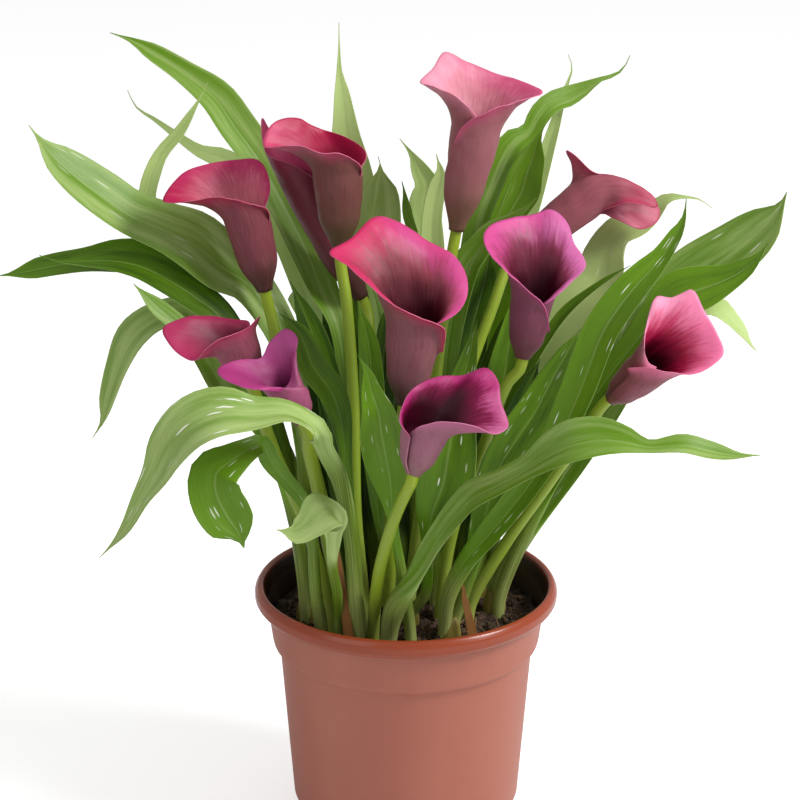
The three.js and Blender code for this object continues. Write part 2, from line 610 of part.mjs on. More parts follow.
// Shoots. Each holds the leaves that grow from it; one leaf alone has no sheath.
const SHOOTS = {
  leaf_front_left: {
    leaves: [{
      foot: [-22, -39], stalk: 3.3, flatFrom: 0.42, stations: 14, face: [-0.3, -0.6, 0.75],
      path: [[-23, -41, 130, 3.5], [-24, -46, 155, 3.6], [-26, -52, 175, 3.6], [-29, -58, 192, 4],
        [-34, -65, 207, 4.6], [-39, -73, 221, 5.8], [-51, -84, 232, 7.5], [-64, -92, 234, 10],
        [-78, -95, 235, 13.7], [-90, -96, 230, 14.2], [-99, -96, 220, 12], [-105, -94, 208, 8.7],
        [-112, -91, 196, 5.6], [-120, -89, 181, 3.3], [-132, -86, 167, 0.7]],
    }],
  },
  leaf_front_right: {
    leaves: [{
      foot: [-8, -41], stalk: 3.6, flatFrom: 0.2, stations: 14, face: [-0.2, -0.55, 0.8], fold: 18,
      path: [[-5, -47, 126, 5], [4, -56, 144, 6.4], [13, -66, 165, 7.2], [21, -75, 181, 8.4],
        [29, -82, 193, 9], [39, -88, 201, 7.6], [51, -93, 210, 7.4], [60, -98, 218, 10.4],
        [69, -102, 224, 11.4], [80, -104, 227, 10.2], [90, -106, 227, 7.1], [100, -107, 225, 3.6],
        [114, -107, 226, 5.3], [125, -106, 223, 5], [136, -106, 221, 3], [147, -105, 221, 0.7]],
    }],
  },
  leaf_curly: {
    leaves: [{
      foot: [-39, -34], stalk: 2.8, flatFrom: 0.35, stations: 14, face: [-0.2, -0.85, 0.4], fold: 10,
      path: [[-41, -39, 130, 2.8], [-43, -45, 169, 2.6], [-46, -50, 180, 3.4], [-53, -56, 192, 3.7],
        [-59, -62, 203, 4.6], [-62, -67, 212, 4.4], [-68, -74, 212, 5.5], [-75, -80, 209, 8],
        [-81, -84, 205, 11], [-81, -85, 196, 11.8], [-77, -84, 186, 11.6], [-72, -83, 177, 8.5],
        [-70, -82, 170, 1]],
    }],
  },
  leaf_small_curl: {
    leaves: [{
      foot: [-31, -37], stalk: 2.4, flatFrom: 0.5, face: [0.1, -0.6, 0.8], fold: 10,
      path: [[-31, -43, 130, 2.4], [-33, -53, 150, 2.4], [-32, -62, 168, 4], [-32, -70, 181, 8.6],
        [-36, -76, 184, 10.4], [-42, -79, 179, 7.1], [-48, -81, 176, 5.6], [-52, -81, 177, 3],
        [-56, -81, 178, 0.7]],
    }],
  },
  leaf_centre_front: {
    leaves: [{
      foot: [2, -34], stalk: 2.6, flatFrom: 0.35, face: [0, -1, 0.1], fold: 16,
      path: [[-2, -39, 140, 2.4], [-6, -44, 168, 2.4], [-7, -49, 187, 7.5], [-9, -54, 202, 10.2],
        [-11, -59, 215, 9.8], [-12, -61, 224, 7.8], [-15, -61, 234, 4.8], [-17, -60, 243, 2.1],
        [-21, -59, 250, 0.7]],
    }],
  },
  leaf_inner_left: {
    leaves: [{
      foot: [-20, -26], stalk: 2.6, flatFrom: 0.4, face: [0.3, -0.9, 0.2],
      path: [[-24, -29, 140, 2.6], [-27, -32, 190, 2.8], [-30, -35, 216, 5.6], [-34, -36, 227, 6.6],
        [-41, -36, 237, 6.8], [-45, -35, 248, 5.4], [-50, -34, 256, 3.3], [-56, -33, 261, 0.7]],
    }],
  },
  shoot_left: {
    foot: [-45, -5], radius: 8.5,
    leaves: [{
      foot: [-43, -4], flatFrom: 0.3, stations: 14, face: [0.45, -0.6, 0.65], fold: 12,
      path: [[-45, -4, 150, 3], [-49, 3, 189, 3.9], [-55, 9, 231, 9.2], [-72, 14, 260, 12.3],
        [-84, 15, 268, 15.8], [-97, 15, 279, 16.9], [-110, 14, 286, 14.4], [-125, 13, 293, 13.4],
        [-137, 12, 302, 13.6], [-149, 11, 312, 11.9], [-159, 10, 322, 7.6], [-165, 9, 331, 2],
        [-168, 8, 336, 0.7]],
    }, {
      foot: [-45, -1], flatFrom: 0.4, face: [0.1, -0.6, 0.8],
      path: [[-49, 6, 150, 3], [-68, 10, 216, 4.1], [-78, 12, 234, 4.3], [-89, 14, 249, 6.3],
        [-104, 16, 262, 8.4], [-121, 17, 271, 10.6], [-133, 17, 272, 10.2], [-146, 16, 271, 7.4],
        [-161, 15, 269, 6.5], [-176, 14, 266, 5], [-186, 13, 265, 0.7]],
    }, {
      foot: [-47, -6], flatFrom: 0.36, face: [0.1, -0.6, 0.8],
      path: [[-52, -2, 150, 3], [-63, -2, 200, 3.5], [-74, 0, 229, 6.1], [-85, 2, 249, 7.7],
        [-95, 3, 257, 9.1], [-107, 4, 265, 9.1], [-119, 5, 271, 8.5], [-132, 5, 274, 7.1],
        [-146, 5, 274, 3.6], [-157, 5, 274, 0.8], [-166, 5, 277, 0.7]],
    }, {
      foot: [-47, -9], flatFrom: 0.36, stations: 9, face: [0.4, -0.75, 0.5],
      path: [[-51, -10, 150, 3], [-66, -15, 200, 4.2], [-81, -18, 220, 7.8], [-92, -20, 240, 6.8],
        [-101, -20, 251, 4.8], [-110, -20, 259, 4.4], [-117, -19, 266, 2.8], [-121, -18, 270, 0.7]],
    }],
  },
  shoot_left_back: {
    foot: [-42, 18], radius: 6.5,
    leaves: [{
      foot: [-42, 15], flatFrom: 0.36, across: 3, face: [0.3, -0.85, 0.2], fold: 20,
      path: [[-47, 14, 150, 3], [-77, 21, 222, 4.5], [-100, 28, 256, 6.5], [-118, 33, 283, 4.6],
        [-120, 37, 297, 4.4], [-117, 39, 308, 4.2], [-113, 41, 316, 3.4], [-105, 43, 325, 2.9],
        [-99, 44, 334, 1.8], [-94, 45, 342, 0.7], [-91, 45, 348, 0.7]],
    }, {
      foot: [-43, 20], flatFrom: 0.4, face: [-0.5, -0.7, 0.5],
      path: [[-48, 24, 150, 3], [-70, 27, 203, 3.8], [-88, 29, 232, 5.6], [-103, 26, 244, 6.8],
        [-117, 22, 241, 8.7], [-126, 18, 234, 9.9], [-133, 14, 221, 7.5], [-138, 11, 207, 5.3],
        [-141, 9, 196, 2.1], [-146, 8, 188, 0.7]],
    }],
  },
  shoot_back_left: {
    foot: [-24, 22], radius: 7,
    leaves: [{
      foot: [-23, 19], flatFrom: 0.32, stations: 13, face: [0.35, -0.75, 0.45], fold: 20,
      path: [[-25, 19, 150, 3], [-32, 26, 237, 5.2], [-39, 34, 251, 8], [-46, 42, 267, 10],
        [-56, 50, 286, 9.7], [-70, 57, 310, 9.8], [-80, 62, 323, 10.3], [-90, 68, 336, 9.7],
        [-104, 74, 346, 6.9], [-119, 79, 355, 5.1], [-130, 82, 361, 2.4], [-140, 85, 364, 0.7]],
    }, {
      foot: [-26, 25], flatFrom: 0.36, across: 3, face: [-0.3, -0.7, 0.5],
      path: [[-28, 30, 150, 3], [-38, 48, 207, 4.2], [-50, 60, 250, 6.1], [-66, 70, 286, 6.9],
        [-86, 77, 304, 5.7], [-99, 81, 308, 3.2], [-110, 84, 315, 2], [-120, 86, 322, 1.1],
        [-129, 87, 328, 0.7], [-133, 88, 336, 0.7]],
    }, {
      foot: [-24, 17], flatFrom: 0.35, stations: 9, across: 3, face: [0.2, -0.9, 0.3],
      path: [[-26, 10, 159, 3], [-34, 9, 207, 6], [-44, 12, 240, 6], [-53, 15, 262, 0.7]],
    }],
  },
  shoot_centre: {
    foot: [2, -11], radius: 5.5,
    leaves: [{
      foot: [0, -10], stalk: 2.4, flatFrom: 0.35, stations: 9, across: 3, face: [0, -1, 0.1],
      path: [[-12, -6, 150, 2.6], [-15, -3, 196, 6], [-17, -2, 236, 5], [-22, -2, 258, 0.7]],
    }, {
      foot: [3, -12], stalk: 2.6, flatFrom: 0.2, face: [-0.1, -0.95, 0.3],
      path: [[9, -16, 120, 2.6], [10, -18, 149, 3.4], [12, -21, 162, 7.7], [17, -22, 177, 13.4],
        [19, -21, 190, 13.7], [21, -19, 201, 11.5], [24, -16, 217, 7.5], [28, -13, 233, 4.2],
        [32, -10, 251, 0.9]],
    }],
  },
  shoot_back: {
    foot: [-4, 27], radius: 8,
    leaves: [{
      foot: [-9, 28], flatFrom: 0.42, face: [0.2, -0.95, 0.1],
      path: [[-10, 32, 150, 3], [-13, 45, 230, 4.4], [-17, 50, 273, 6.8], [-23, 54, 303, 7.3],
        [-28, 56, 319, 7.1], [-29, 57, 329, 5.6], [-30, 58, 341, 3.7], [-31, 59, 350, 1.5],
        [-31, 59, 360, 0.7], [-31, 60, 373, 0.7]],
    }, {
      foot: [-6, 23], flatFrom: 0.4, face: [0, -1, 0.1], fold: 10,
      path: [[-4, 27, 150, 3], [-4, 35, 221, 5.7], [-8, 40, 258, 9.4], [-14, 43, 277, 11.8],
        [-13, 45, 288, 10.9], [-12, 46, 298, 8.3], [-12, 46, 305, 3.7], [-12, 47, 309, 0.8],
        [-13, 47, 313, 0.7]],
    }, {
      foot: [0, 29], flatFrom: 0.45, stations: 9, face: [-0.1, -0.95, 0.2],
      path: [[4, 34, 150, 3], [9, 48, 225, 4.3], [12, 54, 263, 6.7], [9, 57, 288, 7.6],
        [10, 58, 297, 6], [6, 58, 305, 4.2], [3, 58, 311, 2.1], [-3, 58, 319, 0.7]],
    }, {
      foot: [1, 25], flatFrom: 0.45, stations: 9, across: 3, face: [0.1, -0.95, 0.2],
      path: [[7, 28, 150, 3], [11, 36, 223, 4.3], [12, 42, 261, 5.7], [12, 45, 284, 4.9],
        [14, 47, 296, 4.4], [16, 48, 305, 3.5], [15, 48, 310, 1.6], [14, 48, 314, 0.7]],
    }],
  },
  leaf_inner_back: {
    leaves: [{
      foot: [4, 17], stalk: 2.3, flatFrom: 0.4, stations: 9, across: 3, face: [0, -1, 0.15],
      path: [[4, 17, 150, 2.5], [4, 22, 220, 3.3], [3, 25, 250, 4.2], [3, 29, 281, 2.6],
        [1, 30, 288, 2.4], [0, 31, 294, 2.2], [-1, 31, 301, 1.3], [-2, 31, 305, 0.7]],
    }],
  },
  shoot_back_right: {
    foot: [20, 38], radius: 7,
    leaves: [{
      foot: [17, 38], flatFrom: 0.34, stations: 15, face: [-0.3, -0.85, 0.4], fold: 12,
      path: [[18, 40, 150, 3], [22, 50, 208, 5.1], [32, 58, 255, 7.7], [37, 60, 282, 8.1],
        [42, 63, 295, 7.7], [47, 67, 306, 8.1], [52, 71, 314, 7.4], [59, 75, 318, 5],
        [64, 79, 326, 5.7], [70, 83, 331, 5.6], [77, 86, 333, 5.5], [84, 88, 336, 4.1],
        [93, 89, 341, 1.3], [100, 90, 343, 1.3], [104, 91, 346, 0.8], [107, 92, 352, 0.7]],
    }, {
      foot: [22, 36], flatFrom: 0.4, face: [-0.2, -0.9, 0.3], fold: 12,
      path: [[24, 38, 145, 3], [35, 47, 209, 4.4], [45, 52, 246, 6.8], [46, 54, 277, 7.4],
        [51, 57, 287, 8.4], [55, 59, 294, 9.2], [57, 60, 302, 8.3], [60, 61, 310, 6.2],
        [62, 61, 318, 3.2], [65, 61, 325, 0.7]],
    }, {
      foot: [23, 41], flatFrom: 0.4, stations: 9, across: 3, face: [-0.2, -0.95, 0.2],
      path: [[27, 46, 150, 3], [43, 66, 223, 4], [60, 82, 279, 4.9], [71, 90, 316, 3],
        [77, 95, 336, 1.1], [80, 98, 345, 0.7], [78, 100, 351, 0.7]],
    }],
  },
  shoot_right_back: {
    foot: [37, 25], radius: 6.5,
    leaves: [{
      foot: [35, 27], flatFrom: 0.3, stations: 13, face: [-0.4, -0.8, 0.45],
      path: [[36, 30, 140, 3], [47, 38, 177, 6.5], [62, 44, 213, 10.7], [82, 47, 242, 13.5],
        [92, 50, 253, 13.1], [95, 54, 265, 10.2], [100, 58, 273, 8.1], [110, 61, 278, 8.1],
        [117, 63, 282, 5.7], [124, 63, 289, 2.8], [131, 62, 290, 1], [139, 61, 289, 0.7],
        [145, 60, 285, 0.7]],
    }, {
      foot: [40, 23], stalk: 2.5, flatFrom: 0.5, stations: 9, across: 3, face: [0.3, -0.3, 0.9],
      path: [[44, 23, 145, 2.5], [75, 27, 184, 3.4], [111, 26, 226, 5.1], [132, 22, 245, 7.2],
        [143, 19, 247, 9], [149, 17, 243, 6.9], [155, 15, 237, 5.1], [159, 13, 232, 2.7],
        [162, 12, 229, 0.9]],
    }],
  },
  shoot_right: {
    foot: [42, 4], radius: 7,
    leaves: [{
      foot: [43, 3], flatFrom: 0.2, stations: 14, face: [-0.35, -0.7, 0.62], fold: 10,
      path: [[45, 5, 118, 3], [55, 7, 137, 4.3], [68, 9, 158, 5.9], [80, 11, 178, 7.9],
        [91, 12, 198, 9.4], [101, 13, 218, 10.2], [114, 13, 247, 11], [125, 14, 257, 15.6],
        [134, 14, 264, 16.9], [142, 14, 270, 16.3], [151, 14, 277, 14.6], [159, 14, 284, 12.5],
        [166, 14, 292, 8.1], [170, 14, 298, 3.9], [172, 14, 304, 0.7]],
    }, {
      foot: [41, 8], stalk: 2.6, flatFrom: 0.35, stations: 9, across: 3, face: [-0.5, -0.7, 0.5], fold: 35,
      path: [[42, 12, 140, 3], [44, 16, 176, 4.1], [53, 17, 208, 4], [65, 16, 233, 3.4],
        [74, 15, 247, 3.3], [85, 13, 258, 2.1], [95, 11, 266, 1.3], [102, 9, 271, 0.7]],
    }, {
      foot: [44, 0], flatFrom: 0.28, face: [-0.3, -0.75, 0.55], fold: 12,
      path: [[49, 1, 125, 3], [68, 3, 170, 4.6], [86, 2, 209, 6.5], [105, 0, 238, 6.6],
        [115, -1, 251, 9], [123, -1, 259, 12], [134, -1, 263, 11], [146, -1, 268, 7],
        [156, -1, 275, 3.7], [163, -1, 285, 0.7]],
    }],
  },
  shoot_right_front: {
    foot: [20, -27], radius: 7,
    leaves: [{
      foot: [18, -29], flatFrom: 0.2, stations: 14, face: [-0.5, -0.8, 0.35], fold: 22,
      path: [[19, -33, 125, 3.6], [27, -37, 144, 4.7], [39, -40, 161, 6.3], [53, -44, 182, 7.2],
        [66, -47, 205, 7.9], [76, -48, 230, 8.8], [85, -47, 256, 9], [91, -46, 266, 8.9],
        [98, -44, 275, 8.2], [105, -41, 282, 6.9], [111, -38, 288, 5], [117, -35, 297, 3.6],
        [120, -33, 303, 2], [121, -31, 312, 0.7]],
    }, {
      foot: [22, -24], flatFrom: 0.25, face: [-0.3, -0.9, 0.3],
      path: [[26, -25, 122, 3], [32, -26, 147, 4.4], [37, -27, 167, 7.3], [41, -27, 184, 8.4],
        [49, -27, 199, 9.2], [58, -26, 213, 8.6], [65, -24, 227, 6.7], [72, -22, 240, 3.8],
        [78, -20, 250, 0.9]],
    }],
  },
  leaf_inner_right: {
    leaves: [{
      foot: [16, 21], stalk: 2.5, flatFrom: 0.36, face: [-0.3, -0.8, 0.5],
      path: [[16, 22, 145, 3], [18, 27, 202, 4.6], [21, 31, 235, 7], [29, 34, 265, 7.4],
        [34, 34, 272, 6.6], [40, 34, 280, 5.4], [48, 33, 286, 3.1], [55, 32, 292, 1.5],
        [60, 31, 297, 0.7]],
    }],
  },
  leaf_back: {
    leaves: [{
      foot: [-16, 42], flatFrom: 0.34, face: [-0.4, 0.8, 0.5], fold: 16,
      path: [[-20, 50, 150, 3], [-34, 76, 200, 7], [-52, 106, 238, 12], [-72, 134, 248, 11],
        [-92, 156, 236, 6], [-108, 170, 212, 0.7]],
    }],
  },
  leaf_back_right: {
    leaves: [{
      foot: [4, 46], flatFrom: 0.34, face: [0.3, 0.8, 0.5], fold: 16,
      path: [[8, 54, 150, 3], [20, 82, 200, 7], [34, 110, 232, 12], [47, 133, 246, 11],
        [58, 152, 240, 6], [66, 168, 222, 0.7]],
    }],
  },
};

const FINISH = {
  pot: { color: 0xa4604c, roughness: 0.45, metalness: 0 },
  soil: { color: 0x2a1c14, roughness: 0.95, metalness: 0 },
  leaf: { color: 0x55802f, roughness: 0.5, metalness: 0 },
  stem: { color: 0x8aa336, roughness: 0.45, metalness: 0 },
  spathe: { color: 0xa03c68, roughness: 0.5, metalness: 0 },
  spadix: { color: 0x5a1c2c, roughness: 0.7, metalness: 0 },
};

const plant = new THREE.Group();

function addPiece(name, geometry, finish) {
  const mesh = new THREE.Mesh(geometry, new THREE.MeshStandardMaterial(FINISH[finish]));
  mesh.name = name;
  plant.add(mesh);
}

function shootGeometry(shoot) {
  if (!shoot.radius) {
    return leafGeometry(shoot.leaves[0]);
  }
  const leaves = shoot.leaves.map((leaf) => leafGeometry(leaf, ROOT_Z + 2));
  let joined = toManifold(sheathGeometry(...shoot.foot, shoot.radius));
  for (const leaf of leaves) {
    joined = joined.add(toManifold(leaf));
  }
  return fromManifold(joined);
}

const holes = [
  ...Object.values(STEMS).map(({ foot: [x, y] }) => ({ x, y, radius: STEM_RADIUS })),
  ...Object.values(SHOOTS).map(({ foot, radius, leaves }) => {
    const [x, y] = foot ?? leaves[0].foot;
    return { x, y, radius: radius ?? leaves[0].stalk ?? STALK_RADIUS };
  }),
];

addPiece('pot', potGeometry(), 'pot');
addPiece('soil', soilGeometry(holes), 'soil');
for (const [name, shoot] of Object.entries(SHOOTS)) {
  addPiece(name, shootGeometry(shoot), 'leaf');
}
for (const [number, spathe] of Object.entries(SPATHES)) {
  const label = String(number).padStart(2, '0');
  addPiece(`stem_${label}`, stemGeometry(STEMS[number], spathe), 'stem');
  addPiece(`spathe_${label}`, spatheGeometry(spathe), 'spathe');
  addPiece(`spadix_${label}`, spadixGeometry(spathe), 'spadix');
}

export default plant;
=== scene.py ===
"""The looks of a potted calla lily: its pot, peat, leafy shoots, flower stems, spathes and spadices.

The forms below are in millimetres, in the part's own frame: +Z up, -Y the front, the origin in
the middle of the pot's foot. Meshes are made in metres.
"""

from __future__ import annotations

import logging
import math
import random
from dataclasses import dataclass, field
from enum import Enum
from typing import Any, Sequence

import bpy
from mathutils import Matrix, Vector, noise

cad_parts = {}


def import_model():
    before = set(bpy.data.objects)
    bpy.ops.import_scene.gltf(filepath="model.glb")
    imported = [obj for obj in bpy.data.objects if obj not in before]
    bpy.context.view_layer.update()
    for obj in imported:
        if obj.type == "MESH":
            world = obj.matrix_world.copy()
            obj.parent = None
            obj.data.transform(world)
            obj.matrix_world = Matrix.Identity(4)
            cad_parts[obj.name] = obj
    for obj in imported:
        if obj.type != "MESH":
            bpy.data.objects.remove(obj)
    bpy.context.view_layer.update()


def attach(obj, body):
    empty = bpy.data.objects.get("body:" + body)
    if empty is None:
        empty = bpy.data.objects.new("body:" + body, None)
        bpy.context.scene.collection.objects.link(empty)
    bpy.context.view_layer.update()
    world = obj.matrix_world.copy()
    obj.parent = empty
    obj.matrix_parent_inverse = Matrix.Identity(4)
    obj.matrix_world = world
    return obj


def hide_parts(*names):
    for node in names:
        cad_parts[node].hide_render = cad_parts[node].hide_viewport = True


LOG = logging.getLogger("calla_lily")
MM = 0.001
BODY = "root"

SOIL_Z = 104.0  # the top of the peat
ROOT_Z = 92.0  # where stalks and stems start, in the peat
ROOTED_Z = 108.0  # up to here they stand straight
ONE_TURN = 2 * math.pi
GOLDEN_ANGLE = math.radians(137.508)
FRONT = Vector((0, -1, 0))
WHITE = (1.0, 1.0, 1.0)

Numbers = tuple[float, ...]
Triple = tuple[float, float, float]
Face = tuple[int, ...]
Tree = bpy.types.NodeTree
Mesh = bpy.types.Mesh
Material = bpy.types.Material
Piece = bpy.types.Object


class Slot(Enum):
    """The material slots, one for each kind of piece."""

    POT = "pot"
    SOIL = "soil"
    LEAF = "leaf"
    STEM = "stem"
    SPATHE = "spathe"
    SPADIX = "spadix"


@dataclass(frozen=True)
class LeafForm:
    """One leaf: where it stands, which way it faces, and its midrib's points with half widths."""

    foot: Numbers
    face: Numbers = (0, -1, 0.1)
    path: tuple[Numbers, ...] = ()
    stalk: float = 2.9
    flat_from: float = 0.3
    fold: float = 14.0
    # How pale the leaf is painted: partly its own colour and partly painted light, raised for painted sheen
    # and glow on leaves in light, lowered for painted shade on leaves in shade.
    tone: float = 0.45
    flecks: float = 0.0
    wave: float = 0.05


@dataclass(frozen=True)
class ShootForm:
    """One shoot of the part: its node, its leaves, and the sheath's foot and radius if it has one."""

    node: str
    leaves: tuple[LeafForm, ...]
    foot: Numbers = ()
    radius: float = 0.0


@dataclass(frozen=True)
class BloomForm:
    """One bloom: its stem's route, its tube's axis and radii, and its rim by angle round the tube."""

    number: int
    stem_foot: Numbers
    stem_path: tuple[Numbers, ...]
    foot: Numbers
    throat: Numbers
    belly: float
    opening: float
    rim: tuple[Numbers, ...]
    front: Numbers = (0, -1, 0)

    @property
    def label(self) -> str:
        """The number as it stands in names."""
        return f"{self.number:02d}"


BLOOMS: tuple[BloomForm, ...] = (
    BloomForm(
        number=1, stem_foot=(-30, -4), stem_path=((-36, -7, 150), (-46, -9, 196), (-56, -7, 230)),
        foot=(-64, 0, 262), throat=(-72, 0, 297), belly=8, opening=9.5, rim=(
            (110, -61, 0, 289), (75, -62, -8, 302), (45, -70, -12, 305), (15, -78, -14, 308),
            (-20, -87, -14, 308), (-50, -98, -13, 306), (-85, -108, -6, 305), (-120, -100, 3, 315),
            (-150, -89, 9, 318), (-180, -77, 13, 319), (-215, -66, 12, 319), (-250, -61, 6, 310),
            (-285, -63, -2, 301), (-310, -67, -5, 295))),
    BloomForm(
        number=2, stem_foot=(-19, -17), stem_path=((-23, -18, 160), (-24, -12, 214), (-27, 0, 256)),
        foot=(-30, 5, 281), throat=(-31, 5, 316), belly=8.5, opening=10.5, rim=(
            (110, -23, 4, 308), (75, -20, -3, 319), (50, -25, -9, 325), (20, -30, -13, 328),
            (-10, -37, -14, 328), (-40, -45, -13, 331), (-65, -53, -12, 331), (-95, -63, -4, 329),
            (-125, -60, 3, 337), (-155, -51, 10, 339), (-185, -39, 15, 333), (-225, -26, 13, 329),
            (-260, -18, 6, 324), (-285, -20, 0, 319), (-310, -25, -2, 312))),
    BloomForm(
        number=3, stem_foot=(-10, 8), stem_path=((-9, 9, 160), (-12, 18, 203), (-17, 26, 236)),
        foot=(-21, 30, 250), throat=(-46, 24, 303), belly=8, opening=9, rim=(
            (100, -38, 20, 300), (65, -40, 16, 308), (30, -48, 13, 315), (0, -54, 12, 318),
            (-40, -60, 13, 320), (-80, -64, 18, 323), (-105, -65, 23, 336), (-130, -59, 28, 326),
            (-170, -48, 33, 325), (-210, -39, 34, 319), (-250, -34, 28, 310), (-290, -39, 22, 303))),
    BloomForm(
        number=4, stem_foot=(2, 6), stem_path=((7, 6, 158), (12, 9, 200), (19, 16, 262)),
        foot=(23, 20, 285), throat=(31, 17, 333), belly=8.3, opening=11, rim=(
            (-70, 20, 14, 320), (-45, 22, 7, 330), (-20, 26, 3, 337), (10, 33, 1, 342), (35, 40, 2, 345),
            (60, 50, 7, 347), (85, 61, 16, 349), (125, 51, 29, 352), (160, 39, 33, 355), (190, 27, 33, 360),
            (215, 17, 28, 365), (240, 12, 22, 359), (265, 6, 14, 354), (300, 13, 7, 353), (330, 21, 5, 350),
            (360, 29, 6, 343), (395, 36, 10, 334))),
    BloomForm(
        number=5, stem_foot=(14, 11), stem_path=((17, 12, 160), (26, 18, 206), (40, 30, 244)),
        foot=(55, 42, 271), throat=(88, 45, 297), belly=8, opening=9.5, rim=(
            (60, 91, 36, 290), (48, 96, 32, 293), (35, 101, 30, 295), (18, 108, 31, 294), (0, 116, 34, 292),
            (-20, 115, 36, 296), (-38, 108, 38, 301), (-56, 98, 38, 305), (-70, 90, 39, 306),
            (-80, 84, 40, 309), (-86, 79, 41, 314), (-92, 74, 42, 317), (-102, 77, 46, 310),
            (-122, 82, 51, 302), (-160, 96, 56, 298), (-200, 110, 57, 291), (-235, 119, 52, 287),
            (-255, 118, 47, 282), (-275, 110, 43, 279), (-295, 101, 41, 283), (-315, 93, 41, 287))),
    BloomForm(
        number=6, stem_foot=(16, -8), stem_path=((22, -9, 150), (34, -12, 187), (46, -17, 224)),
        foot=(52, -18, 236), throat=(56, -18, 261), belly=7, opening=9, rim=(
            (70, 64, -21, 249), (30, 61, -29, 262), (-5, 54, -34, 271), (-35, 45, -35, 279),
            (-65, 37, -31, 286), (-92, 34, -23, 292), (-120, 37, -12, 295), (-155, 47, -2, 296),
            (-185, 57, 4, 296), (-210, 65, 6, 298), (-235, 72, 4, 293), (-258, 75, -4, 285),
            (-280, 80, -12, 277), (-305, 74, -19, 272), (-335, 66, -25, 266), (-365, 58, -25, 260))),
    BloomForm(
        number=7, stem_foot=(-8, -18), stem_path=((-7, -28, 150), (-5, -40, 185), (-2, -46, 212)),
        foot=(-1, -48, 224), throat=(3, -48, 258), belly=8.5, opening=11, rim=(
            (85, 16, -51, 249), (50, 16, -60, 262), (15, 5, -66, 269), (-15, -7, -68, 276),
            (-45, -17, -66, 284), (-70, -25, -60, 290), (-95, -33, -50, 293), (-125, -24, -38, 296),
            (-155, -14, -28, 303), (-185, -5, -22, 300), (-215, 9, -22, 291), (-245, 20, -27, 286),
            (-270, 26, -35, 279), (-295, 26, -44, 271), (-320, 21, -52, 266), (-345, 13, -55, 262),
            (-365, 7, -56, 257))),
    BloomForm(
        number=8, stem_foot=(-15, -32), stem_path=((-12, -56, 148), (-5, -74, 181), (1, -82, 198)),
        foot=(3, -84, 205), throat=(8, -84, 223), belly=7, opening=9.5, rim=(
            (-40, 1, -93, 225), (-75, -3, -89, 230), (-105, -2, -84, 235), (-135, 3, -74, 240),
            (-165, 13, -68, 243), (-195, 25, -65, 243), (-220, 34, -65, 246), (-245, 39, -71, 242),
            (-265, 40, -78, 235), (-285, 43, -86, 227), (-305, 37, -93, 226), (-330, 28, -97, 231),
            (-360, 16, -98, 233), (-390, 7, -96, 231), (-420, 3, -90, 226))),
    BloomForm(
        number=9, stem_foot=(30, -6), stem_path=((46, -6, 140), (64, -10, 170), (82, -17, 202)),
        foot=(92, -22, 218), throat=(104, -32, 233), belly=6.5, opening=8.5, front=(0, 0, -1), rim=(
            (-95, 97, -40, 238), (-55, 105, -46, 240), (-20, 114, -49, 239), (15, 124, -49, 238),
            (50, 134, -45, 241), (80, 139, -40, 245), (110, 136, -34, 253), (140, 131, -29, 261),
            (165, 126, -24, 269), (190, 117, -26, 266), (210, 110, -28, 267), (235, 106, -33, 259),
            (265, 104, -40, 248), (295, 106, -41, 241), (320, 110, -39, 238))),
    BloomForm(
        number=10, stem_foot=(-34, -19), stem_path=((-46, -28, 160), (-58, -37, 196), (-65, -41, 220)),
        foot=(-68, -42, 231), throat=(-74, -42, 247), belly=7, opening=9, rim=(
            (150, -69, -32, 247), (110, -64, -38, 261), (70, -68, -47, 259), (35, -74, -54, 258),
            (0, -81, -57, 256), (-35, -86, -57, 252), (-65, -92, -55, 246), (-95, -100, -51, 249),
            (-120, -106, -44, 257), (-150, -97, -37, 260), (-185, -87, -31, 259), (-220, -77, -29, 257),
            (-250, -69, -34, 257), (-285, -71, -39, 251))),
    BloomForm(
        number=11, stem_foot=(-28, -26), stem_path=((-35, -36, 150), (-40, -50, 188), (-43, -58, 208)),
        foot=(-45, -62, 221), throat=(-51, -62, 234), belly=6, opening=7.5, rim=(
            (120, -46, -56, 230), (85, -48, -64, 236), (45, -55, -73, 238), (10, -63, -79, 241),
            (-30, -71, -80, 243), (-65, -79, -76, 246), (-95, -80, -68, 247), (-130, -72, -60, 248),
            (-165, -63, -54, 247), (-195, -59, -49, 253), (-220, -52, -47, 258), (-250, -47, -51, 255),
            (-275, -49, -57, 247), (-295, -50, -61, 239), (-320, -53, -64, 235))),
)

